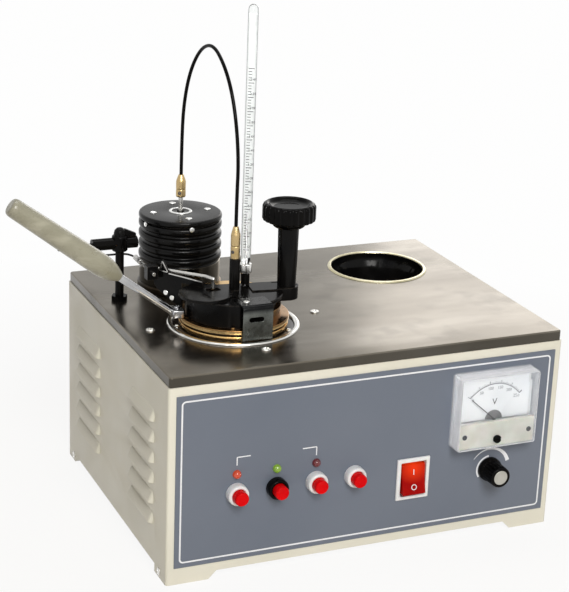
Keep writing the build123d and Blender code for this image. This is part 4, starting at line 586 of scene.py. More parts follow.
def arc_points(radius, start, stop, count=48):
    """Points on a circle from one angle to another, in degrees."""
    t = np.radians(np.linspace(start, stop, count))
    return np.stack([radius * np.cos(t), radius * np.sin(t)], -1)


def frame_outline(width, height, radius, steps=6):
    """Rounded rectangles, a row each: corner centres plus radius * (cos, sin) over each quarter turn."""
    width, height, radius = (np.reshape(v, (-1, 1, 1)) for v in (width, height, radius))
    quarter = np.arange(4)[None, :, None]
    t = quarter * math.pi / 2 + np.linspace(0, math.pi / 2, steps)[None, None, :]
    x = np.array([1, -1, -1, 1])[None, :, None] * (width / 2 - radius) + radius * np.cos(t)
    y = np.array([1, 1, -1, -1])[None, :, None] * (height / 2 - radius) + radius * np.sin(t)
    return x.reshape(len(width), -1), y.reshape(len(width), -1)


print("a bearing of 0 looks out along", facing(0)[2])

# %% [markdown]
# ## Shapes that come back
# Most of this tester was turned on a lathe, so the first shape is a profile spun round an axis. The others
# are a rounded slab, a printed line, a screw's head and a piece of a ring. Each is a formula over two
# parameters, so a softer edge or a finer step is only another number.

# %% Shape formulas
def lathe(profile, centre, axes=STANDING, sides=96, ripple=None, closed=False):
    """Turned shape: a profile point (r, h) at angle t is (r cos t, r sin t, h). ripple(t, r, h) adds to r."""
    r, h = np.asarray(profile, float).T[:, :, None]
    t = np.linspace(0, 2 * math.pi, sides, endpoint=False)[None, :]
    r = np.maximum(r, 0.02) + (ripple(t, r, h) if ripple else 0 * t)
    grid = np.stack([r * np.cos(t), r * np.sin(t), h + 0 * t], -1)
    return lattice(stand(grid, centre, axes), wrap_rows=closed)


def turned(corners, radius, centre, axes=STANDING, sides=96, ripple=None, closed=False, steps=4):
    """A lathe shape whose profile is these corners, softened."""
    return lathe(soften(corners, radius, steps, closed), centre, axes, sides, ripple, closed)


def slab(width, height, low, high, centre, axes=STANDING, radius=1.5, edge=0.5):
    """Rounded slab: rows are the outline drawn in by s at level h, as (s, h) rounds both edges."""
    t = np.linspace(0, math.pi / 2, 5)
    s = edge * (1 - np.sin(t))
    h = edge * (1 - np.cos(t))
    inset = np.concatenate([s, s[::-1]])
    level = np.concatenate([low + h, high - h[::-1]])
    x, y = frame_outline(width - 2 * inset, height - 2 * inset, np.maximum(radius - inset, 0.05))
    grid = np.stack([x, y, np.broadcast_to(level[:, None], x.shape)], -1)
    return lattice(stand(grid, centre, axes))


def printed(points, width, centre, axes=TO_FRONT, closed=False, thick=0.06):
    """A thin strip along a flat path: at each point its four corners, half the width to either side."""
    p = np.asarray(points, float)
    run = np.roll(p, -1, 0) - np.roll(p, 1, 0) if closed else np.gradient(p, axis=0)
    side = np.stack([-run[:, 1], run[:, 0]], -1) / np.linalg.norm(run, axis=1, keepdims=True)
    half = side * np.broadcast_to(np.asarray(width, float), (len(p),))[:, None] / 2
    ends = np.stack([p - half, p + half, p + half, p - half], 1)
    level = np.broadcast_to(np.array([0, 0, thick, thick])[None, :, None], (len(p), 4, 1))
    return lattice(stand(np.concatenate([ends, level], -1), centre, axes), wrap_rows=closed)


def screw_head(radius, height, centre, axes=STANDING, turn=20.0, cross=True):
    """Domed head: h = height * (1 - 0.45 q^5) over q = r / radius, less a smooth cross or straight slot."""
    q = np.concatenate([[0.02], np.linspace(0.06, 0.92, 16), [0.97, 1.0, 1.0]])[:, None]
    t = np.linspace(0, 2 * math.pi, 64, endpoint=False)[None, :]
    x, y = q * np.cos(t - math.radians(turn)), q * np.sin(t - math.radians(turn))

    def bar(across, lengthwise):
        return np.clip((0.16 - abs(across)) / 0.07, 0, 1) * np.clip((0.66 - abs(lengthwise)) / 0.1, 0, 1)

    recess = np.maximum(bar(x, y), bar(y, x) if cross else 0)
    h = height * (1 - 0.45 * q ** 5) - recess * height * 0.75
    h[-1] = -0.1
    grid = np.stack([radius * q * np.cos(t), radius * q * np.sin(t), h], -1)
    return lattice(stand(grid, centre, axes))


def arc_block(inner, outer, low, high, start, sweep, edge=0.4):
    """A piece of a ring: a softened (r, h) section carried round the cup's axis through an angle."""
    section = soften([(inner, low), (outer, low), (outer, high), (inner, high)], edge, closed=True)
    t = np.radians(np.linspace(start, start + sweep, 24))[:, None]
    r, h = section.T[:, None, :]
    return lattice(stand(np.stack([r * np.cos(t), r * np.sin(t), h + 0 * t], -1), CUP))


print("shape formulas are ready")

# %% [markdown]
# ## Refining an engineering part
# Many parts are already right in the engineering model and only look too sharp. They could be modelled again,
# but a copy keeps every true size: its loose triangles are merged, its flat faces joined, and its edges
# rounded. Where the real part is carved further, a Boolean difference takes that away from the copy.

# %% Cutting and refining
SHARP = math.radians(30)


def cut_away(mesh, shapes):
    """The mesh less some (points, faces) shapes: a Boolean difference worked out at once into a new mesh."""
    stock = put("stock", mesh)
    tools = []
    for points, faces in shapes:
        corners = [[i for i in face if i >= 0] for face in facing_out(points, faces).tolist()]
        blank = bpy.data.meshes.new("tool")
        blank.from_pydata(at(points).tolist(), [], corners)
        tools.append(put("tool", blank))
        stroke = stock.modifiers.new("cut", "BOOLEAN")
        stroke.operation, stroke.solver, stroke.object = "DIFFERENCE", "EXACT", tools[-1]
    bpy.context.view_layer.update()
    cut = bpy.data.meshes.new_from_object(stock.evaluated_get(bpy.context.evaluated_depsgraph_get()))
    cut.name = mesh.name
    for used in (stock, *tools):
        bpy.data.objects.remove(used)
    return cut


def refined(node, edge, steps=2, cuts=(), bend=None):
    """A copy of a part with its loose triangles merged, its flat faces joined and its sharp edges rounded.
    bend = (radius, test) rounds first the edges whose two ends, in millimetres, pass the test."""
    work = bmesh.new()
    work.from_mesh(frame["nodes"][node].data)
    bmesh.ops.remove_doubles(work, verts=work.verts, dist=2e-6)
    bmesh.ops.dissolve_limit(work, angle_limit=math.radians(0.6), verts=work.verts, edges=work.edges)
    if bend:
        folds = [e for e in work.edges if all(bend[1](np.array(v.co) * 1000 - CORNER) for v in e.verts)]
        bmesh.ops.bevel(work, geom=folds, offset=bend[0] / 1000, segments=8, profile=0.5, affect="EDGES")
    mesh = bpy.data.meshes.new(node + "_finished")
    work.to_mesh(mesh)
    work.free()
    if cuts:
        mesh = cut_away(mesh, cuts)
    mesh.polygons.foreach_set("use_smooth", np.ones(len(mesh.polygons), bool))
    mesh.set_sharp_from_angle(angle=SHARP)
    made = place_piece(mesh.name, mesh, finish_of(node), node)
    bevel = made.modifiers.new("soft edges", "BEVEL")
    bevel.width, bevel.segments, bevel.limit_method, bevel.angle_limit = edge / 1000, steps, "ANGLE", SHARP
    bevel.harden_normals, bevel.use_clamp_overlap = False, True
    return made


print("edges sharper than", round(math.degrees(SHARP)), "degrees are rounded")

# %% [markdown]
# ## Casing, steel top and panel
# The casing is folded from sheet with pressed louvres and four corner feet, and a stainless top with a
# turned-down lip closes it. They could be built again from plates, but their shapes are already right in the
# engineering model, so copies of them only get their edges rounded, as a press brake leaves them.

# %% Sheet metal
sheet_metal = {node: refined(node, edge).data for node, edge in
               (("casing_shell", 0.3), ("steel_top", 0.3), ("front_panel", 0.15))}
print({node: len(mesh.polygons) for node, mesh in sheet_metal.items()})

# %% [markdown]
# ## Pressed louvres
# Each louvre is a slit whose upper lip a press has pushed out into a hood, open below, with rounded ends. The
# engineering model has straight wedges there. They could stay, but the soft ends are what catches the light,
# so the wedges are drawn in to four fifths and a smooth hood goes over each: one lip section carried along
# the slit, and shrunk to nothing over its last millimetres by a quarter of an ellipse.

# %% Louvres
LOUVRE_ROWS = 114.6 - 15.2 * np.arange(6)
SLITS = ((51.5, 47.0), (175.5, 53.0))
NOSE = 3.2
shell = sheet_metal["casing_shell"]
coords = np.zeros(len(shell.vertices) * 3)
shell.vertices.foreach_get("co", coords)
wedge = coords.reshape(-1, 3) * 1000 - CORNER
outside = np.maximum(-wedge[:, 0], wedge[:, 0] - WIDTH)
on_hood = outside > 0.1
drawn_in = np.where(wedge[:, 0] < WIDTH / 2, -0.8 * outside, WIDTH + 0.8 * outside)
wedge[:, 0] = np.where(on_hood, drawn_in, wedge[:, 0])
for middle_y, length in SLITS:
    near = on_hood & (abs(wedge[:, 1] - middle_y) < length)
    wedge[:, 1] -= np.where(near, 2.0 * np.sign(wedge[:, 1] - middle_y), 0)
shell.vertices.foreach_set("co", at(wedge).ravel())
shell.update()

lip_section = soften([(-0.6, 4.6), (0.0, 4.4), (0.7, 3.3), (1.6, 0.9), (2.45, -1.7), (2.78, -3.0),
                      (2.7, -3.8), (2.2, -3.95), (1.9, -3.4), (1.5, -2.2), (0.3, 1.3), (-0.6, 3.2)],
                     0.5, 3, closed=True)


def hood(side_x, outward, middle_y, length, level):
    """Station y, section (p, q): x = side + outward * p * e(y), z = level - 4 + (q + 4) * (0.3 + 0.7 e(y)).
    e is 1 along the slit and falls as sqrt(1 - s^2) over the nose at each end."""
    half = length / 2 + 0.8
    nose = half - NOSE * (1 - np.cos(np.linspace(0.0, math.pi / 2, 13)))
    y = np.concatenate([nose, np.linspace(half - 9, 0, 5)])
    y = np.concatenate([y, -y[-2::-1]])[:, None]
    e = np.sqrt(np.clip(1 - (np.clip(abs(y) - (half - NOSE), 0, NOSE) / NOSE) ** 2, 0.0004, 1))
    p, q = lip_section.T[:, None, :]
    x = side_x + outward * np.where(p > 0, p * e, p)
    return lattice(np.stack([x, middle_y + y + 0 * p, level - 4 + (q + 4) * (0.3 + 0.7 * e)], -1))


hoods = [hood(side_x, outward, middle_y, length, level) for side_x, outward in ((0, -1.25), (WIDTH, 1))
         for middle_y, length in SLITS for level in LOUVRE_ROWS]
piece("louvre_hoods", hoods, cream, sharp=60)
print("hoods:", len(hoods), "furthest out", round(1.25 * lip_section[:, 0].max(), 2))

# %% [markdown]
# ## Print on the panel
# The plate is screen printed in white: a rounded border line, two small brackets over the lamps, a swelling
# arc that means more and less heat, and a ring under its knob. They could be a texture, but thin raised lines
# stay sharp at any distance.

# %% White print
PANEL_FACE = (0, -0.8, 0)
border_x, border_z = frame_outline(281.0, 118.2, 2.6, 8)
border = np.stack([border_x[0] + WIDTH / 2, border_z[0] + 75.6], -1)
round_knob = HEAT_KNOB[[0, 2]]
shapes = [
    printed(border, 1.15, PANEL_FACE, closed=True),
    printed(soften([(49.5, 83.4), (49.5, 89.4), (59.3, 89.4)], 0.4), 0.75, PANEL_FACE),
    printed(soften([(97.9, 88.9), (108.4, 88.9), (108.4, 82.6)], 0.4), 0.75, PANEL_FACE),
    printed(arc_points(15.6, 146, 16, 60) + round_knob, np.linspace(0.35, 3.0, 60), PANEL_FACE),
    printed(arc_points(9.9, 95, 215) + round_knob, 1.3, PANEL_FACE)]
piece("panel_print", shapes, white_ink)
print("printed lines:", len(shapes))

# %% [markdown]
# ## Buttons
# Four red push-buttons stand in plastic collars, three white and one black. A cylinder would show a hard
# circle, so a turned profile gives each its dished top and its rolled edge, which catch the light in a ring.

# %% Buttons
BUTTON_X = 49.5 + 29.5 * np.arange(4)
BUTTON_HEIGHT, LAMP_HEIGHT = 63, 77
collar = [(5.15, 6.8), (5.6, 7.2), (6.6, 7.2), (7.5, 6.2), (7.6, 0.8), (7.0, 0.8), (7.0, -14), (5.15, -14)]
collar_soft = [0.3, 0.3, 0.5, 0.7, 0.2, 0.2, 0.2, 0.2]
collars = [turned(collar, collar_soft, (x, 0, BUTTON_HEIGHT), TO_FRONT, closed=True) for x in BUTTON_X]
piece("white_collars", [collars[0], *collars[2:]], white_plastic, "button_collars")
piece("black_collar", [collars[1]], gloss_black)
cap = [(0, 12.5), (3.0, 12.6), (4.1, 12.95), (4.6, 12.75), (5.0, 11.9), (5.0, -7.4), (0, -7.4)]
for i, x in enumerate(BUTTON_X, 1):
    button = turned(cap, 0.5, (x, 0, BUTTON_HEIGHT), TO_FRONT, 72)
    piece(f"red_button_{i}", [button], red_plastic, f"button_{i}")
print("buttons at", BUTTON_X)

# %% [markdown]
# ## Lamps
# Three small lenses, orange, green and dark red, sit above the first buttons. Each could be a sphere, but a
# moulded lens has a flange that seats on the panel, so it is a dome turned in one with its flange. Its finish
# lets some light through, and its faint glow is painted light, for the lamps are not lit.

# %% Lamps
rise = np.linspace(0, 1.54, 12)
dome = np.column_stack([3.0 * np.cos(rise), 1.4 + 3.0 * np.sin(rise)])
lamp = np.vstack([[(2.5, -7), (2.5, 0.8), (3.1, 0.8)], dome])
LAMP_COLOURS = dict(orange=(0.72, 0.075, 0.012), green=(0.26, 0.46, 0.03), dark_red=(0.16, 0.010, 0.014))
for (name, colour), x in zip(LAMP_COLOURS.items(), BUTTON_X):
    # Painted light: each lens glows faintly, though its lamp is not lit.
    lens_finish = plastic(f"{name}_lens", tuple(0.75 * c for c in colour), colour, (0.05, 0.12), scale=500,
                          Coat_Weight=0.5, Coat_Roughness=0.03, Transmission_Weight=0.3,
                          Emission_Color=(*colour, 1), Emission_Strength=0.15)
    made = piece(f"{name}_lamp", [lathe(lamp, (x, 0, LAMP_HEIGHT), TO_FRONT, 48)], lens_finish)
    if name == "orange":
        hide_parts("lamps")
print("lamps:", list(LAMP_COLOURS))

# %% [markdown]
# ## Rocker switch
# A white bezel snaps into the panel and holds a red rocker that leans towards its lower end. The bezel and
# the key keep their engineering shape with rounded edges. The marks I and O could be painted on, but flat
# letters laid on the key's two sloping faces stay sharp, so text is turned into a mesh by one helper.

# %% Letters and switch
def letters(words, size, centre, axes=TO_FRONT):
    """Flat letters as (points, faces): a text turned into a mesh, then a * x + b * y from its centre."""
    thick = 0.05
    text = bpy.data.curves.new("letters", "FONT")
    text.body, text.size, text.align_x, text.align_y = words, size, "CENTER", "CENTER"
    text.extrude, text.resolution_u = thick / 2, 3
    holder = put("letters", text)
    bpy.context.view_layer.update()
    mesh = bpy.data.meshes.new_from_object(holder)
    points = np.zeros(len(mesh.vertices) * 3)
    mesh.vertices.foreach_get("co", points)
    mesh.calc_loop_triangles()
    corners = np.zeros(len(mesh.loop_triangles) * 3, int)
    mesh.loop_triangles.foreach_get("vertices", corners)
    faces = np.column_stack([corners.reshape(-1, 3), np.full(len(corners) // 3, -1)])
    bpy.data.objects.remove(holder)
    bpy.data.meshes.remove(mesh)
    return stand(points.reshape(-1, 3) + (0, 0, thick / 2), centre, axes), faces


def leaning(lean):
    """The front-facing axes with their top leaned back by an angle in degrees."""
    s, c = math.sin(math.radians(lean)), math.cos(math.radians(lean))
    return np.array([(1, 0, 0), (0, s, c), (0, -c, s)])


refined("rocker_bezel", 0.5)
refined("rocker_key", 0.6, steps=3)
marks = [letters("I", 6.0, SWITCH + (0, -2.95, 5.5), leaning(5.71)),
         letters("O", 6.0, SWITCH + (0, -4.85, -5.5), leaning(13.3))]
piece("switch_marks", marks, white_ink, body="rocker")
print("switch marked I and O")

# %% [markdown]
# ## The voltmeter's case
# A clear moulded case covers the dial. It could be a plain box, but clear plastic shows its walls, so it is a
# hollow shell with rounded edges and a window. The dial plate and the base keep their engineering shape.

# %% Voltmeter case
wall_levels = np.array([0.8, 11.9, 13.0, 13.6, 13.8, 13.8, 13.4, 0.8])
wall_draw = np.array([0, 0.3, 0.6, 1.2, 1.9, 2.4, 2.7, 2.7])
wall_x, wall_z = frame_outline(64 - wall_draw, 56 - wall_draw, np.maximum(2.4 - wall_draw / 2, 0.7), 8)
wall_grid = np.stack([wall_x, wall_z, np.broadcast_to(wall_levels[:, None], wall_x.shape)], -1)
piece("meter_walls", [lattice(stand(wall_grid, METER, TO_FRONT), wrap_rows=True)], milky, "meter_case")
piece("meter_window", [slab(61.8, 53.8, 12.3, 13.6, METER, TO_FRONT, 0.9, 0.3)], clear)
refined("meter_dial", 0.1)
refined("meter_base", 0.2)
print("case walls:", wall_grid.shape[0], "rows")

# %% [markdown]
# ## Dial, needle and adjuster
# The dial has an arc, ticks and numbers, a thin needle turns over it, and a frosted band with two screws
# hides the coil. They could be one printed picture, but real lines keep their edge when the camera comes
# near, so each tick is a thin strip of its own.

# %% Dial, needle and adjuster
DIAL = METER + (0, -5.8, -8)
SCALE_RADIUS, NUMBER_RADIUS, NEEDLE_REST = 25.9, 23.0, 138
angles = 90 + np.linspace(48, -48, 51)
ticks = []
for i, angle in enumerate(angles):
    reach = 28.4 if i % 10 == 0 else 27.8 if i % 5 == 0 else 27.2
    way = arc_points(1, angle, angle, 1)
    ticks.append(printed(np.vstack([way * SCALE_RADIUS, way * reach]), 0.4 if i % 10 == 0 else 0.2, DIAL))
arc = printed(arc_points(SCALE_RADIUS, angles[0], angles[-1], 90), 0.55, DIAL)
places = stand(np.column_stack([arc_points(NUMBER_RADIUS, 138, 42, 6), np.full(6, 0.05)]), DIAL, TO_FRONT)
numbers = [letters(str(50 * i), 3.0, place) for i, place in enumerate(places)]
piece("dial_print", [arc, *ticks, *numbers], grey_ink)
piece("dial_unit", [letters("V", 6.4, DIAL + (0, -0.05, 12.5))], dark_ink)
piece("dial_boss", [printed(arc_points(3.35, 0, 180, 40), 6.5, DIAL, thick=0.5)], grey_plastic)
piece("meter_band", [slab(60.2, 18.6, 8.2, 12.1, METER - 17.1 * UP, TO_FRONT, 0.7, 0.5)], frosted)
piece("band_screws", [screw_head(1.9, 0.5, (x, -12.0, 85), TO_FRONT, cross=False) for x in (218, 270)],
      dark_ink)
needle_line = np.vstack([arc_points(r, NEEDLE_REST, NEEDLE_REST, 1) for r in (-4.0, 24.6)])
hub = turned([(0, 7.4), (1.0, 7.4), (1.0, 5.0), (0, 5.0)], 0.2, METER - 8 * UP, TO_FRONT, 32)
piece("needle", [printed(needle_line, [0.9, 0.3], DIAL + (0, -0.6, 0), thick=0.4), hub], dark_ink,
      "meter_needle")
refined("zero_adjuster", 0.2)
print("dial ticks:", len(ticks), "numbers:", len(numbers))

# %% [markdown]
# ## Heat knob
# The knob has a flared skirt, fine grip grooves and a spun metal disc let into its face. Its grooves could be
# cut one by one, but they are a ripple added to the radius: twenty narrow dips, worked out in the same sweep
# that turns the profile.

# %% Heat knob
def grip_grooves(t, r, h):
    """Radius change: -0.7 * ((1 + cos 20 t) / 2)^3 on the grip's height."""
    return -0.7 * ((1 + np.cos(20 * t)) / 2) ** 3 * ((h > 5.6) & (h < 17.6))


heat_profile = [(0, 18.1), (5.5, 18.1), (5.7, 18.6), (7.0, 18.6), (7.7, 17.8), (7.85, 14.0), (8.05, 9.0),
                (8.2, 5.9), (9.0, 4.2), (9.2, 1.2), (0, 1.2)]
piece("heat_control_knob", [turned(heat_profile, 0.35, HEAT_KNOB, TO_FRONT, 240, grip_grooves)], gloss_black,
      "heat_knob")
spun = metal("spun_disc", (0.40, 0.385, 0.34), (0.52, 0.50, 0.45), 80, (0.32, 0.5))
disc = [(0, 18.45), (5.3, 18.35), (5.45, 18.1), (0, 18.1)]
piece("knob_disc", [turned(disc, 0.12, HEAT_KNOB, TO_FRONT, 72)], spun, body="heat_control")
print("heat knob corners:", len(heat_profile))

# %% [markdown]
# ## The stove
# A bright trim ring frames a dark plate. On it lie the brass seat ring, a dark gasket and then the cup's own
# flange. Flat rings could be cut from plates, but each is a closed section spun round the cup's axis, with
# its edges eased as a lathe tool leaves them.

# %% Stove rings
def ring(corners, radius=0.3):
    """A ring about the cup's axis with a closed, softened (r, h) section."""
    return turned(corners, radius, CUP, sides=144, closed=True)


PLATE_TOP, SEAT_TOP, GASKET_TOP = 152.2, 156, 157.6
piece("stove_trim", [ring([(43.5, 152.5), (47.4, 152.5), (47.4, 153.1), (46.7, 153.8), (45.4, 153.9),
                           (44.2, 153.8), (43.5, 153.1)])], chrome, "trim_ring")
piece("stove_disc", [ring([(27.6, 151), (43.3, 151), (43.3, PLATE_TOP), (27.6, PLATE_TOP)])], hot_black,
      "stove_plate")
plate_screws = [screw_head(1.9, 1.3, around(CUP, 41.3, bearing, PLATE_TOP), turn=math.radians(bearing) * 50)
                for bearing in (174, 100, 20, -40)]
piece("stove_screws", plate_screws, steel)
piece("seat", [ring([(27.6, PLATE_TOP), (36, PLATE_TOP), (36, 153.5), (39, 153.5), (39, SEAT_TOP),
                     (27.6, SEAT_TOP)], 0.4)], brass, "seat_ring")
piece("gasket", [ring([(27.6, SEAT_TOP), (37, SEAT_TOP), (37, GASKET_TOP), (27.6, GASKET_TOP)], 0.5)], rubber,
      "cup_gasket")
print("stove rings are turned")

# %% [markdown]
# ## Test cup
# The brass cup hangs by its flange in the stove, and a lug and a pin lock the cover on it. It could be a tube
# on a disc, but it was turned from one bar, so its profile runs in one line from the floor up the outside,
# round the flange and back down inside.

# %% Cup
FLANGE_TOP = 160.7
cup_profile = [(0, 112.2), (26, 112.2), (27, 113.2), (27, 157.7), (39.5, 157.7), (39.5, FLANGE_TOP),
               (27, FLANGE_TOP), (27, 170.1), (25.4, 170.1), (25.4, 114.2), (0, 114.2)]
wall = turned(cup_profile, [0.5, 0.5, 0.6, 0.45, 0.45, 0.6, 0.4, 0.4, 1.5], CUP, sides=144)
lug = arc_block(28.5, 33.6, 160.5, 168.7, -72, 76)
pin = turned([(0, 162.7), (1.5, 162.7), (1.5, 160), (0, 160)], 0.4, around(CUP, 37.6, -112), sides=32)
piece("brass_cup", [wall, lug, pin], cup_brass, "test_cup")
print("cup profile corners:", len(cup_profile))

# %% [markdown]
# ## Handle
# A steel rod rises from a saddle on the flange and carries a lacquered wooden grip. The grip could be a plain
# cylinder, but it swells and tapers to fit a hand, so it is turned about the handle's own slope.

# %% Handle
SLOPE, BEARING = math.radians(36.5), 175
outward = around((0, 0, 0), 1.0, BEARING)
way = math.cos(SLOPE) * outward + math.sin(SLOPE) * UP
across = np.cross(UP, way) / np.linalg.norm(np.cross(UP, way))
HANDLE_AXES = np.array([across, np.cross(way, across), way])
ROOT = around(CUP, 39, BEARING, 159.95)
saddle = slab(9.0, 12.0, FLANGE_TOP, 166.7, around(CUP, 41.5, BEARING), level_along(outward), 1.6, 0.8)
rod = turned([(0, 7.5), (2.7, 7.5), (2.7, 54.5), (0, 54.5)], 0.3, ROOT, HANDLE_AXES, 40)
saddle_screw = screw_head(2.2, 1.4, around(CUP, 41.5, BEARING, 166.7))
piece("handle_rod", [saddle, rod, saddle_screw], rod_steel, "cup_handle")
swell = [(0, 54), (2.8, 54), (3.6, 55.2), (5.0, 58.0), (6.5, 61.5), (7.5, 65.5), (8.0, 70), (7.98, 78),
         (7.8, 90), (7.5, 105), (7.2, 120), (6.9, 136), (6.75, 145), (5.9, 147.4), (4.4, 148), (0, 148)]
piece("handle_grip", [turned(swell, 1.6, ROOT, HANDLE_AXES, 64)], grip_paint, "cup_grip")
print("handle runs along", way.round(3))

# %% [markdown]
# ## Cover and clip
# The cover is a black housing that stands open at its rear and has a window at its front, through which the
# cup's lug shows. An arm carries the control post, and a bent steel clip hangs over the front. All could be
# drawn anew, but the engineering shapes fit the cup exactly, so the rear and the window are carved from a
# copy, the clip's fold gets a large round, and a thin wall is hung under the arm round the post's foot.

# %% Cover and clip
arm_way = (POST - CUP) / np.linalg.norm(POST - CUP)
ARM_AXES = level_along(arm_way)
rear = slab(90, 40, 172.2, 190, CUP + 32.3 * ARM_AXES[1], ARM_AXES, 0.2, 0.05)
window = arc_block(30.8, 38.5, 160.5, 175.2, -69, 42, 0.05)
refined("cover_body", 0.3, cuts=[rear, window])
refined("front_clip", 0.3, bend=(3.2, lambda p: p[1] < 45.4 and p[2] > 178.9))
legs = np.array([(-9, 8.0), (-4, 8.0)])
arm_wall = soften(np.concatenate([legs * (1, -1), arc_points(8.0, -84, 84, 33), legs[::-1]]), 0.3)
piece("cover_arm", [printed(arm_wall, 1.1, POST + 169.8 * UP, ARM_AXES, thick=9.1)], black_metal,
      body="cover")
print("cover carved, arm laid along", arm_way.round(3))

# %% [markdown]
# ## Castings and bent plates
# The gas valve, the flame tube with its shield, the cooling well, the fan and the fittings at the back were
# cast, pressed or bent. Their engineering shapes could be used as they are, but no casting has a razor edge,
# so each is refined with the edge radius of its kind.

# %% Castings and bent plates
EDGES = dict(gas_valve=0.4, valve_knob=0.5, burner_plate=0.4, burner_bracket=0.35, burner=0.15,
             cover_screws=0.25, cooling_well=0.3, well_trim=0.25, shutter=0.15, knob_spindle=0.15,
             fan_frame=0.3, fan_rotor=0.2, mains_inlet=0.4, fuse_holder=0.4, gas_feed=0.3, base_plate=0.2,
             stirrer_shaft=0.15, motor_spindle=0.2)
for node, edge in EDGES.items():
    refined(node, edge)
print("castings refined:", len(EDGES))

# %% [markdown]
# ## Painted highlights and small parts on the gas line
# Bare steel strips on the shield's triangular gusset and along its top edge are painted highlights, a small
# sleeve holds the hose's end, and the tap has a round barrel under its lever. They could be painted on, but
# raised edges catch the light from any side, so each is a thin strip or a turned ring laid on the engineering
# shape.

# %% Gusset, rim, sleeve and barrel
SHIELD_AXES = facing(math.degrees(math.atan2(-23.2, -30.0)))
SHIELD_FOOT = (33.3, 119.3, 0)
gusset = soften([(1.2, 186.0), (8.6, 185.8), (4.0, 193.3)], 0.7, closed=True)
rib, rim_line = [(2.2, 186.6), (2.9, 189.0), (3.9, 192.3)], [(9.4, 185.0), (20.0, 184.7), (37.4, 184.0)]
# Painted highlights: bare steel strips are laid where the shield's gusset and top edge catch the light.
shield_highlight_strips = [printed(gusset, 0.6, SHIELD_FOOT, SHIELD_AXES, closed=True, thick=0.4),
          printed(rib, [2.0, 1.9, 0.9], SHIELD_FOOT, SHIELD_AXES, thick=0.3),
          printed(rim_line, 0.8, SHIELD_FOOT, SHIELD_AXES, thick=0.3)]
piece("shield_painted_highlights", shield_highlight_strips, steel, body=body_of["burner_bracket"])
sleeve = [(0.85, -14.5), (1.5, -14.5), (1.9, -13.7), (1.9, -1.5), (1.7, -0.7), (0.85, -0.7)]
piece("hose_sleeve", [turned(sleeve, 0.2, HOSE_END, TO_FRONT, 40, closed=True)], steel)
barrel = [(0, 202.0), (5.0, 202.0), (5.8, 201.2), (5.8, 191.0), (5.0, 190.2), (0, 190.2)]
piece("valve_barrel", [turned(barrel, 0.5, VALVE, sides=64)], gloss_black)
print("bright strips:", len(shield_highlight_strips))

# %% [markdown]
# ## Control knob
# A fluted knob turns the shutter, and its face is a shallow dish. Flutes could be cut by twenty-four round
# tools, but a ripple in the radius makes the same dips, and it can fade out towards the face, so that the rim
# looks moulded rather than cut.

# %% Control knob
RIM_LOW, RIM_TOP = 227.4, 240.0


def knob_flutes(t, r, h):
    """Radius change: -0.85 * ((1 + cos 24 t) / 2)^1.6, only on the rim, fading over its round upper edge."""
    fade = np.clip((r - 15.5) / 2.5, 0, 1) * np.clip((RIM_TOP + 0.2 - h) / 2.0, 0, 1) * (h > RIM_LOW - 0.1)
    return -0.85 * ((1 + np.cos(24 * t)) / 2) ** 1.6 * fade


fluted = [(2.6, 222.4), (10.5, 222.4), (12.5, 224.8), (12.5, RIM_LOW), (18.2, RIM_LOW),
          (19.0, 228.2), (19.0, 238.0), (17.6, 239.5), (15.9, RIM_TOP), (14.6, 239.3), (13.2, 237.7),
          (10.0, 237.0), (0, 237.0)]
soft = [1.2, 1.5, 0.5, 0.4, 0.4, 0.9, 1.0, 0.6, 0.8, 1.2, 1.6]
piece("control_knob", [turned(fluted, soft, POST, sides=288, ripple=knob_flutes, steps=6)], gloss_black,
      "shutter_knob")
print("control knob corners:", len(fluted))

# %% [markdown]
# ## Ferrule, coupling and collar
# The flexible shaft is crimped in a brass ferrule over the stirrer and in a brass coupling over the motor,
# and a knurled collar holds the thermometer. Plain tubes would do from afar, but these are turned, with a
# small cone at the end, a groove and a dark set screw in their side.

# %% Brass ends and collar
def set_screw(axis, height, radius, bearing):
    """A small dark grub screw that looks out along a bearing, a radius from an upright axis."""
    return screw_head(1.25, 0.35, around(axis, radius - 0.1, bearing, height), facing(bearing), cross=False)


def knurl(t, r, h):
    """Radius change: 0.12 * cos 36 t on the collar's middle."""
    return 0.12 * np.cos(36 * t) * (r > 4.0) * (h > 187.5) * (h < 193.4)


ferrule = [(0, 200.6), (3.2, 200.6), (3.4, 201.0), (3.4, 209.6), (3.1, 210.0), (3.4, 210.4), (3.4, 218.0),
           (3.2, 218.9), (1.9, 224.0), (0, 224.4)]
coupling = [(0, 221.2), (3.3, 221.2), (3.65, 221.8), (3.65, 226.8), (3.35, 227.2), (3.65, 227.6),
            (3.65, 233.0), (3.4, 234.0), (1.9, 238.2), (0, 238.5)]
stem_collar = [(2.45, 187), (4.1, 187), (4.4, 187.4), (4.4, 193.3), (4.0, 193.9), (2.45, 193.9)]
piece("ferrule", [turned(ferrule, 0.35, CUP, sides=48)], pale_brass, "stirrer_ferrule")
piece("coupling", [turned(coupling, 0.35, MOTOR, sides=48)], pale_brass, "shaft_coupling")
piece("ferrule_set_screw", [set_screw(CUP, 206, 3.4, 215)], dark_ink, body="stirrer")
piece("coupling_set_screw", [set_screw(MOTOR, 224.6, 3.65, 235)], dark_ink, body="coupling")
piece("stem_collar", [turned(stem_collar, 0.3, STEM, sides=216, ripple=knurl, closed=True)], chrome,
      "thermometer_collar")
print("ferrule, coupling and collar turned")

# %% [markdown]
# ## Thermometer
# An enclosed-scale thermometer: a glass sheath, a milk-glass plate with fine graduations, and a thread of
# mercury in its capillary. A printed cylinder would do from afar, but the real sheath bends light over the
# scale, so the glass, the plate, the marks and the thread are separate pieces, one inside the other.

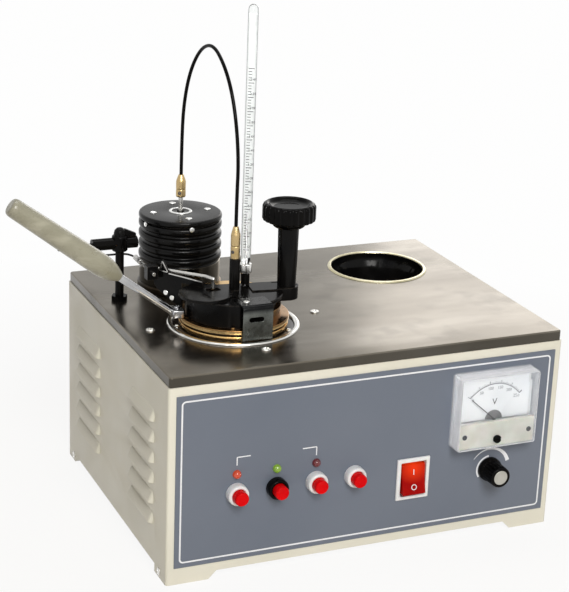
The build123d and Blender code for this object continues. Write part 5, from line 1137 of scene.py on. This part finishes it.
# %% Thermometer
SCALE_AXES = facing(-115)
SCALE_MIDDLE = 286.0
sheath = [(0, 125), (1.35, 125.2), (2.25, 127.5), (2.25, 193.0), (3.6, 196.5), (3.6, 374.5), (2.9, 376.8),
          (1.4, 378), (0, 378)]
piece("thermometer_glass", [turned(sheath, [0.3, 1.2, 1.5, 2.0, 2.5, 1.4, 0.8], STEM, sides=64)], glass,
      "thermometer")
plate_middle = STEM + SCALE_MIDDLE * UP
piece("scale_plate", [slab(5.6, 174, -1.1, -0.3, plate_middle - UP, SCALE_AXES, 0.6, 0.2)], milk_glass,
      body="thermometer")
plate_face = plate_middle - 0.3 * SCALE_AXES[2]
graduations = []
for i, height in enumerate(np.linspace(204, 334, 66) - SCALE_MIDDLE):
    length, width = (2.6, 0.5) if i % 5 == 0 else (1.5, 0.42)
    graduations.append(printed([(-1.3, height), (-1.3 + length, height)], width, plate_face, SCALE_AXES,
                               thick=0.05))
number_places = stand(np.array([(1.1, 206.4 + 10 * i - SCALE_MIDDLE, 0.02) for i in range(13)]), plate_face,
                      SCALE_AXES)
degrees = [letters(str(20 * i), 2.3, place, SCALE_AXES) for i, place in enumerate(number_places)]
piece("scale_marks", [*graduations, *degrees], dark_ink, body="thermometer")
mercury = metal("mercury", (0.30, 0.30, 0.31), (0.45, 0.45, 0.46), 200, (0.05, 0.15))
thread = [(0, 127.0), (1.5, 127.5), (1.5, 140), (0.35, 143), (0.35, 232), (0, 232.5)]
piece("mercury_thread", [lathe(thread, STEM, sides=24)], mercury, body="thermometer")
print("graduations:", len(graduations))

# %% [markdown]
# ## Motor
# The stirrer motor stands on a brass foot. Its black housing has four round cooling ribs over a plain lower
# body. The engineering profile has straight chamfers; here each rib is softened into a true round, because
# its long highlight shows every corner.

# %% Motor
MOTOR_TOP = 210
housing = [(26, 157.5), (30, 157.5), (30, 173.0)]
for rib in (178, 186, 194, 202):
    housing += [(28.4, rib - 2.9), (30.0, rib - 2.5), (31.0, rib - 1.4), (31.0, rib + 1.4), (30.0, rib + 2.5),
                (28.4, rib + 2.9)]
housing += [(31, 206.3), (31, 209.0), (30.0, MOTOR_TOP), (2.75, MOTOR_TOP), (2.75, 207), (26, 207)]
skirt = [(29.6, 157.6), (30.15, 157.6), (30.15, 174.0), (29.6, 174.4)]
foot = [(1.8, TOP), (31.5, TOP), (31.5, 156.6), (30.6, 157.5), (1.8, 157.5)]
piece("motor_body", [turned(housing, 0.75, MOTOR, sides=144, closed=True)], motor_black, "motor_housing")
piece("motor_skirt", [turned(skirt, 0.2, MOTOR, sides=144, closed=True)], skirt_metal)
piece("motor_foot", [turned(foot, 0.5, MOTOR, sides=144, closed=True)], bronze, "motor_base")
heads = [screw_head(2.4, 0.9, around(MOTOR, 21, -3 + 90 * i, MOTOR_TOP), turn=37 * i) for i in range(4)]
boss_ring = [(6.6, 209.9), (6.6, 210.4), (7.0, 210.7), (8.2, 210.7), (8.6, 210.3), (8.6, 209.9)]
boss = turned(boss_ring, 0.15, MOTOR, closed=True)
side_heads = [screw_head(1.8, 0.8, around(MOTOR, 30.9, bearing, 204.5), facing(bearing))
              for bearing in (-165, -94)]
piece("motor_fixings", [*heads, boss, *side_heads], aluminium, "motor_screws")
print("motor profile corners:", len(housing))

# %% [markdown]
# ## Casing screws
# Four screws hold the casing's corner feet and three pan heads hold the steel top. A flat disc would look
# printed, so each head is a dome with a cross-shaped recess pressed into it by the same formula.

# %% Casing screws
low_heads = [screw_head(2.8, 1.0, (x, y, 4.4), facing(bearing), turn=30)
             for x, bearing in ((0, 180), (WIDTH, 0)) for y in (14, 216)]
TOP_SCREWS = ((17.6, 88.3), (80.5, 28.8), (143.9, 89.1))
top_heads = [screw_head(3.1, 1.3, (x, y, TOP), turn=x) for x, y in TOP_SCREWS]
piece("casing_fixings", [*low_heads, *top_heads], chrome, "casing_screws")
print("casing screws:", len(low_heads) + len(top_heads))

# %% [markdown]
# ## Floor and world
# A plain pale floor runs out of sight under a pale world. Both could simply be lit to white, but that light
# would fall on the tester too. So the Light Path node tells them who is looking: the camera, mirrors and
# glass see them nearly white, and the rest of the scene gets a faint warm light. Near the tester the floor is
# mostly plain paint, so its shadow stays.

# %% Floor and world
def pale(owner):
    """1 for rays from the camera, a mirror or glass, else 0: the largest of three Light Path outputs."""
    path = add(owner, "LightPath").outputs
    mirror = add(owner, "Math", {0: path["Is Camera Ray"], 1: path["Is Glossy Ray"]}, operation="MAXIMUM")
    largest = add(owner, "Math", {0: mirror.outputs[0], 1: path["Is Transmission Ray"]}, operation="MAXIMUM")
    return largest.outputs[0]


floor_finish = new_finish("studio_floor", Roughness=0.9, Specular_IOR_Level=0.1)
floor_paint = shade(floor_finish, cloud(floor_finish, 2), (0.86, 0.82, 0.75), (0.90, 0.86, 0.79))
wire(floor_finish, Base_Color=floor_paint)
far_out = between(floor_finish, distance(floor_finish, (0, 0, 0)), 0.90, 1.0, 0.24, 0.60)
seen = times(floor_finish, pale(floor_finish), far_out)
glow = add(floor_finish, "Emission", {"Color": (1, 1, 0.998, 1), "Strength": 0.99})
nodes = floor_finish.node_tree.nodes
blend = add(floor_finish, "MixShader", {0: seen, 1: nodes["Principled BSDF"].outputs[0], 2: glow.outputs[0]})
floor_finish.node_tree.links.new(blend.outputs[0], nodes["Material Output"].inputs["Surface"])
x, y = np.meshgrid(np.linspace(-6, 6, 13), np.linspace(-6, 6, 13))
floor_points, floor_faces = lattice(np.stack([x, y, 0 * x], -1), wrap_columns=False, caps=False)
floor_mesh = bpy.data.meshes.new("studio_floor")
floor_mesh.from_pydata(floor_points.tolist(), [], floor_faces.tolist())
floor_mesh.materials.append(floor_finish)
floor = put("studio_floor", floor_mesh)

world = bpy.data.worlds.new("studio")
bpy.context.scene.world = world
world.use_nodes = True
ambient = world.node_tree.nodes["Background"]
ambient.inputs["Color"].default_value, ambient.inputs["Strength"].default_value = (1.0, 0.88, 0.70, 1), 0.11
backdrop = add(world, "Background", {"Color": (1, 1, 0.995, 1), "Strength": 0.97})
both = add(world, "MixShader", {0: pale(world), 1: ambient.outputs[0], 2: backdrop.outputs[0]})
world.node_tree.links.new(both.outputs[0], world.node_tree.nodes["World Output"].inputs["Surface"])
print("floor faces:", len(floor_faces))

# %% [markdown]
# ## Lamps of the studio
# Four soft boxes light the tester, as in a small product studio. The large key stands near the camera, a
# little to its right and above it, so that the louvres' ends, the collars and the meter's walls are lit. A
# tall strip on the left draws long highlights on black parts, a wide panel overhead lights the steel top, and
# a weak one behind on the right puts a streak along the steel. One bright lamp would do, but its shadows
# would be hard.

# %% Studio lamps
def soft_box(name, place, target, size, share, tint=(1, 1, 1)):
    """A rectangular lamp of pi^2 * distance^2 * share watts: share 1 lights a face like full white."""
    lamp_data = bpy.data.lights.new(name, "AREA")
    back = np.subtract(place, target)
    away = np.linalg.norm(back)
    lamp_data.shape, lamp_data.size, lamp_data.size_y = "RECTANGLE", *size
    lamp_data.energy, lamp_data.color = math.pi ** 2 * away ** 2 * share, tint
    side = np.cross(UP, back) / np.linalg.norm(np.cross(UP, back))
    aimed(name, lamp_data, place, side, np.cross(back / away, side), back / away)
    return round(lamp_data.energy, 1)


MIDDLE = (0.03, 0.0, 0.15)
print("key", soft_box("key", (-0.22, -1.66, 1.30), MIDDLE, (0.8, 0.8), 0.72, (1, 0.985, 0.955)),
      "strip", soft_box("strip", (-0.85, -1.35, 0.75), MIDDLE, (0.09, 0.8), 0.04),
      "overhead", soft_box("overhead", (0.15, 0.25, 1.7), MIDDLE, (1.1, 0.7), 0.28),
      "far side", soft_box("far_side", (1.04, 1.23, 0.64), (0.13, 0.0, 0.15), (0.6, 0.85), 0.115,
                           (1, 0.96, 0.92)))

# %% [markdown]
# ## Look
# The standard view shows colours as they are written.

# %% Look
bpy.context.scene.view_settings.view_transform = "Standard"
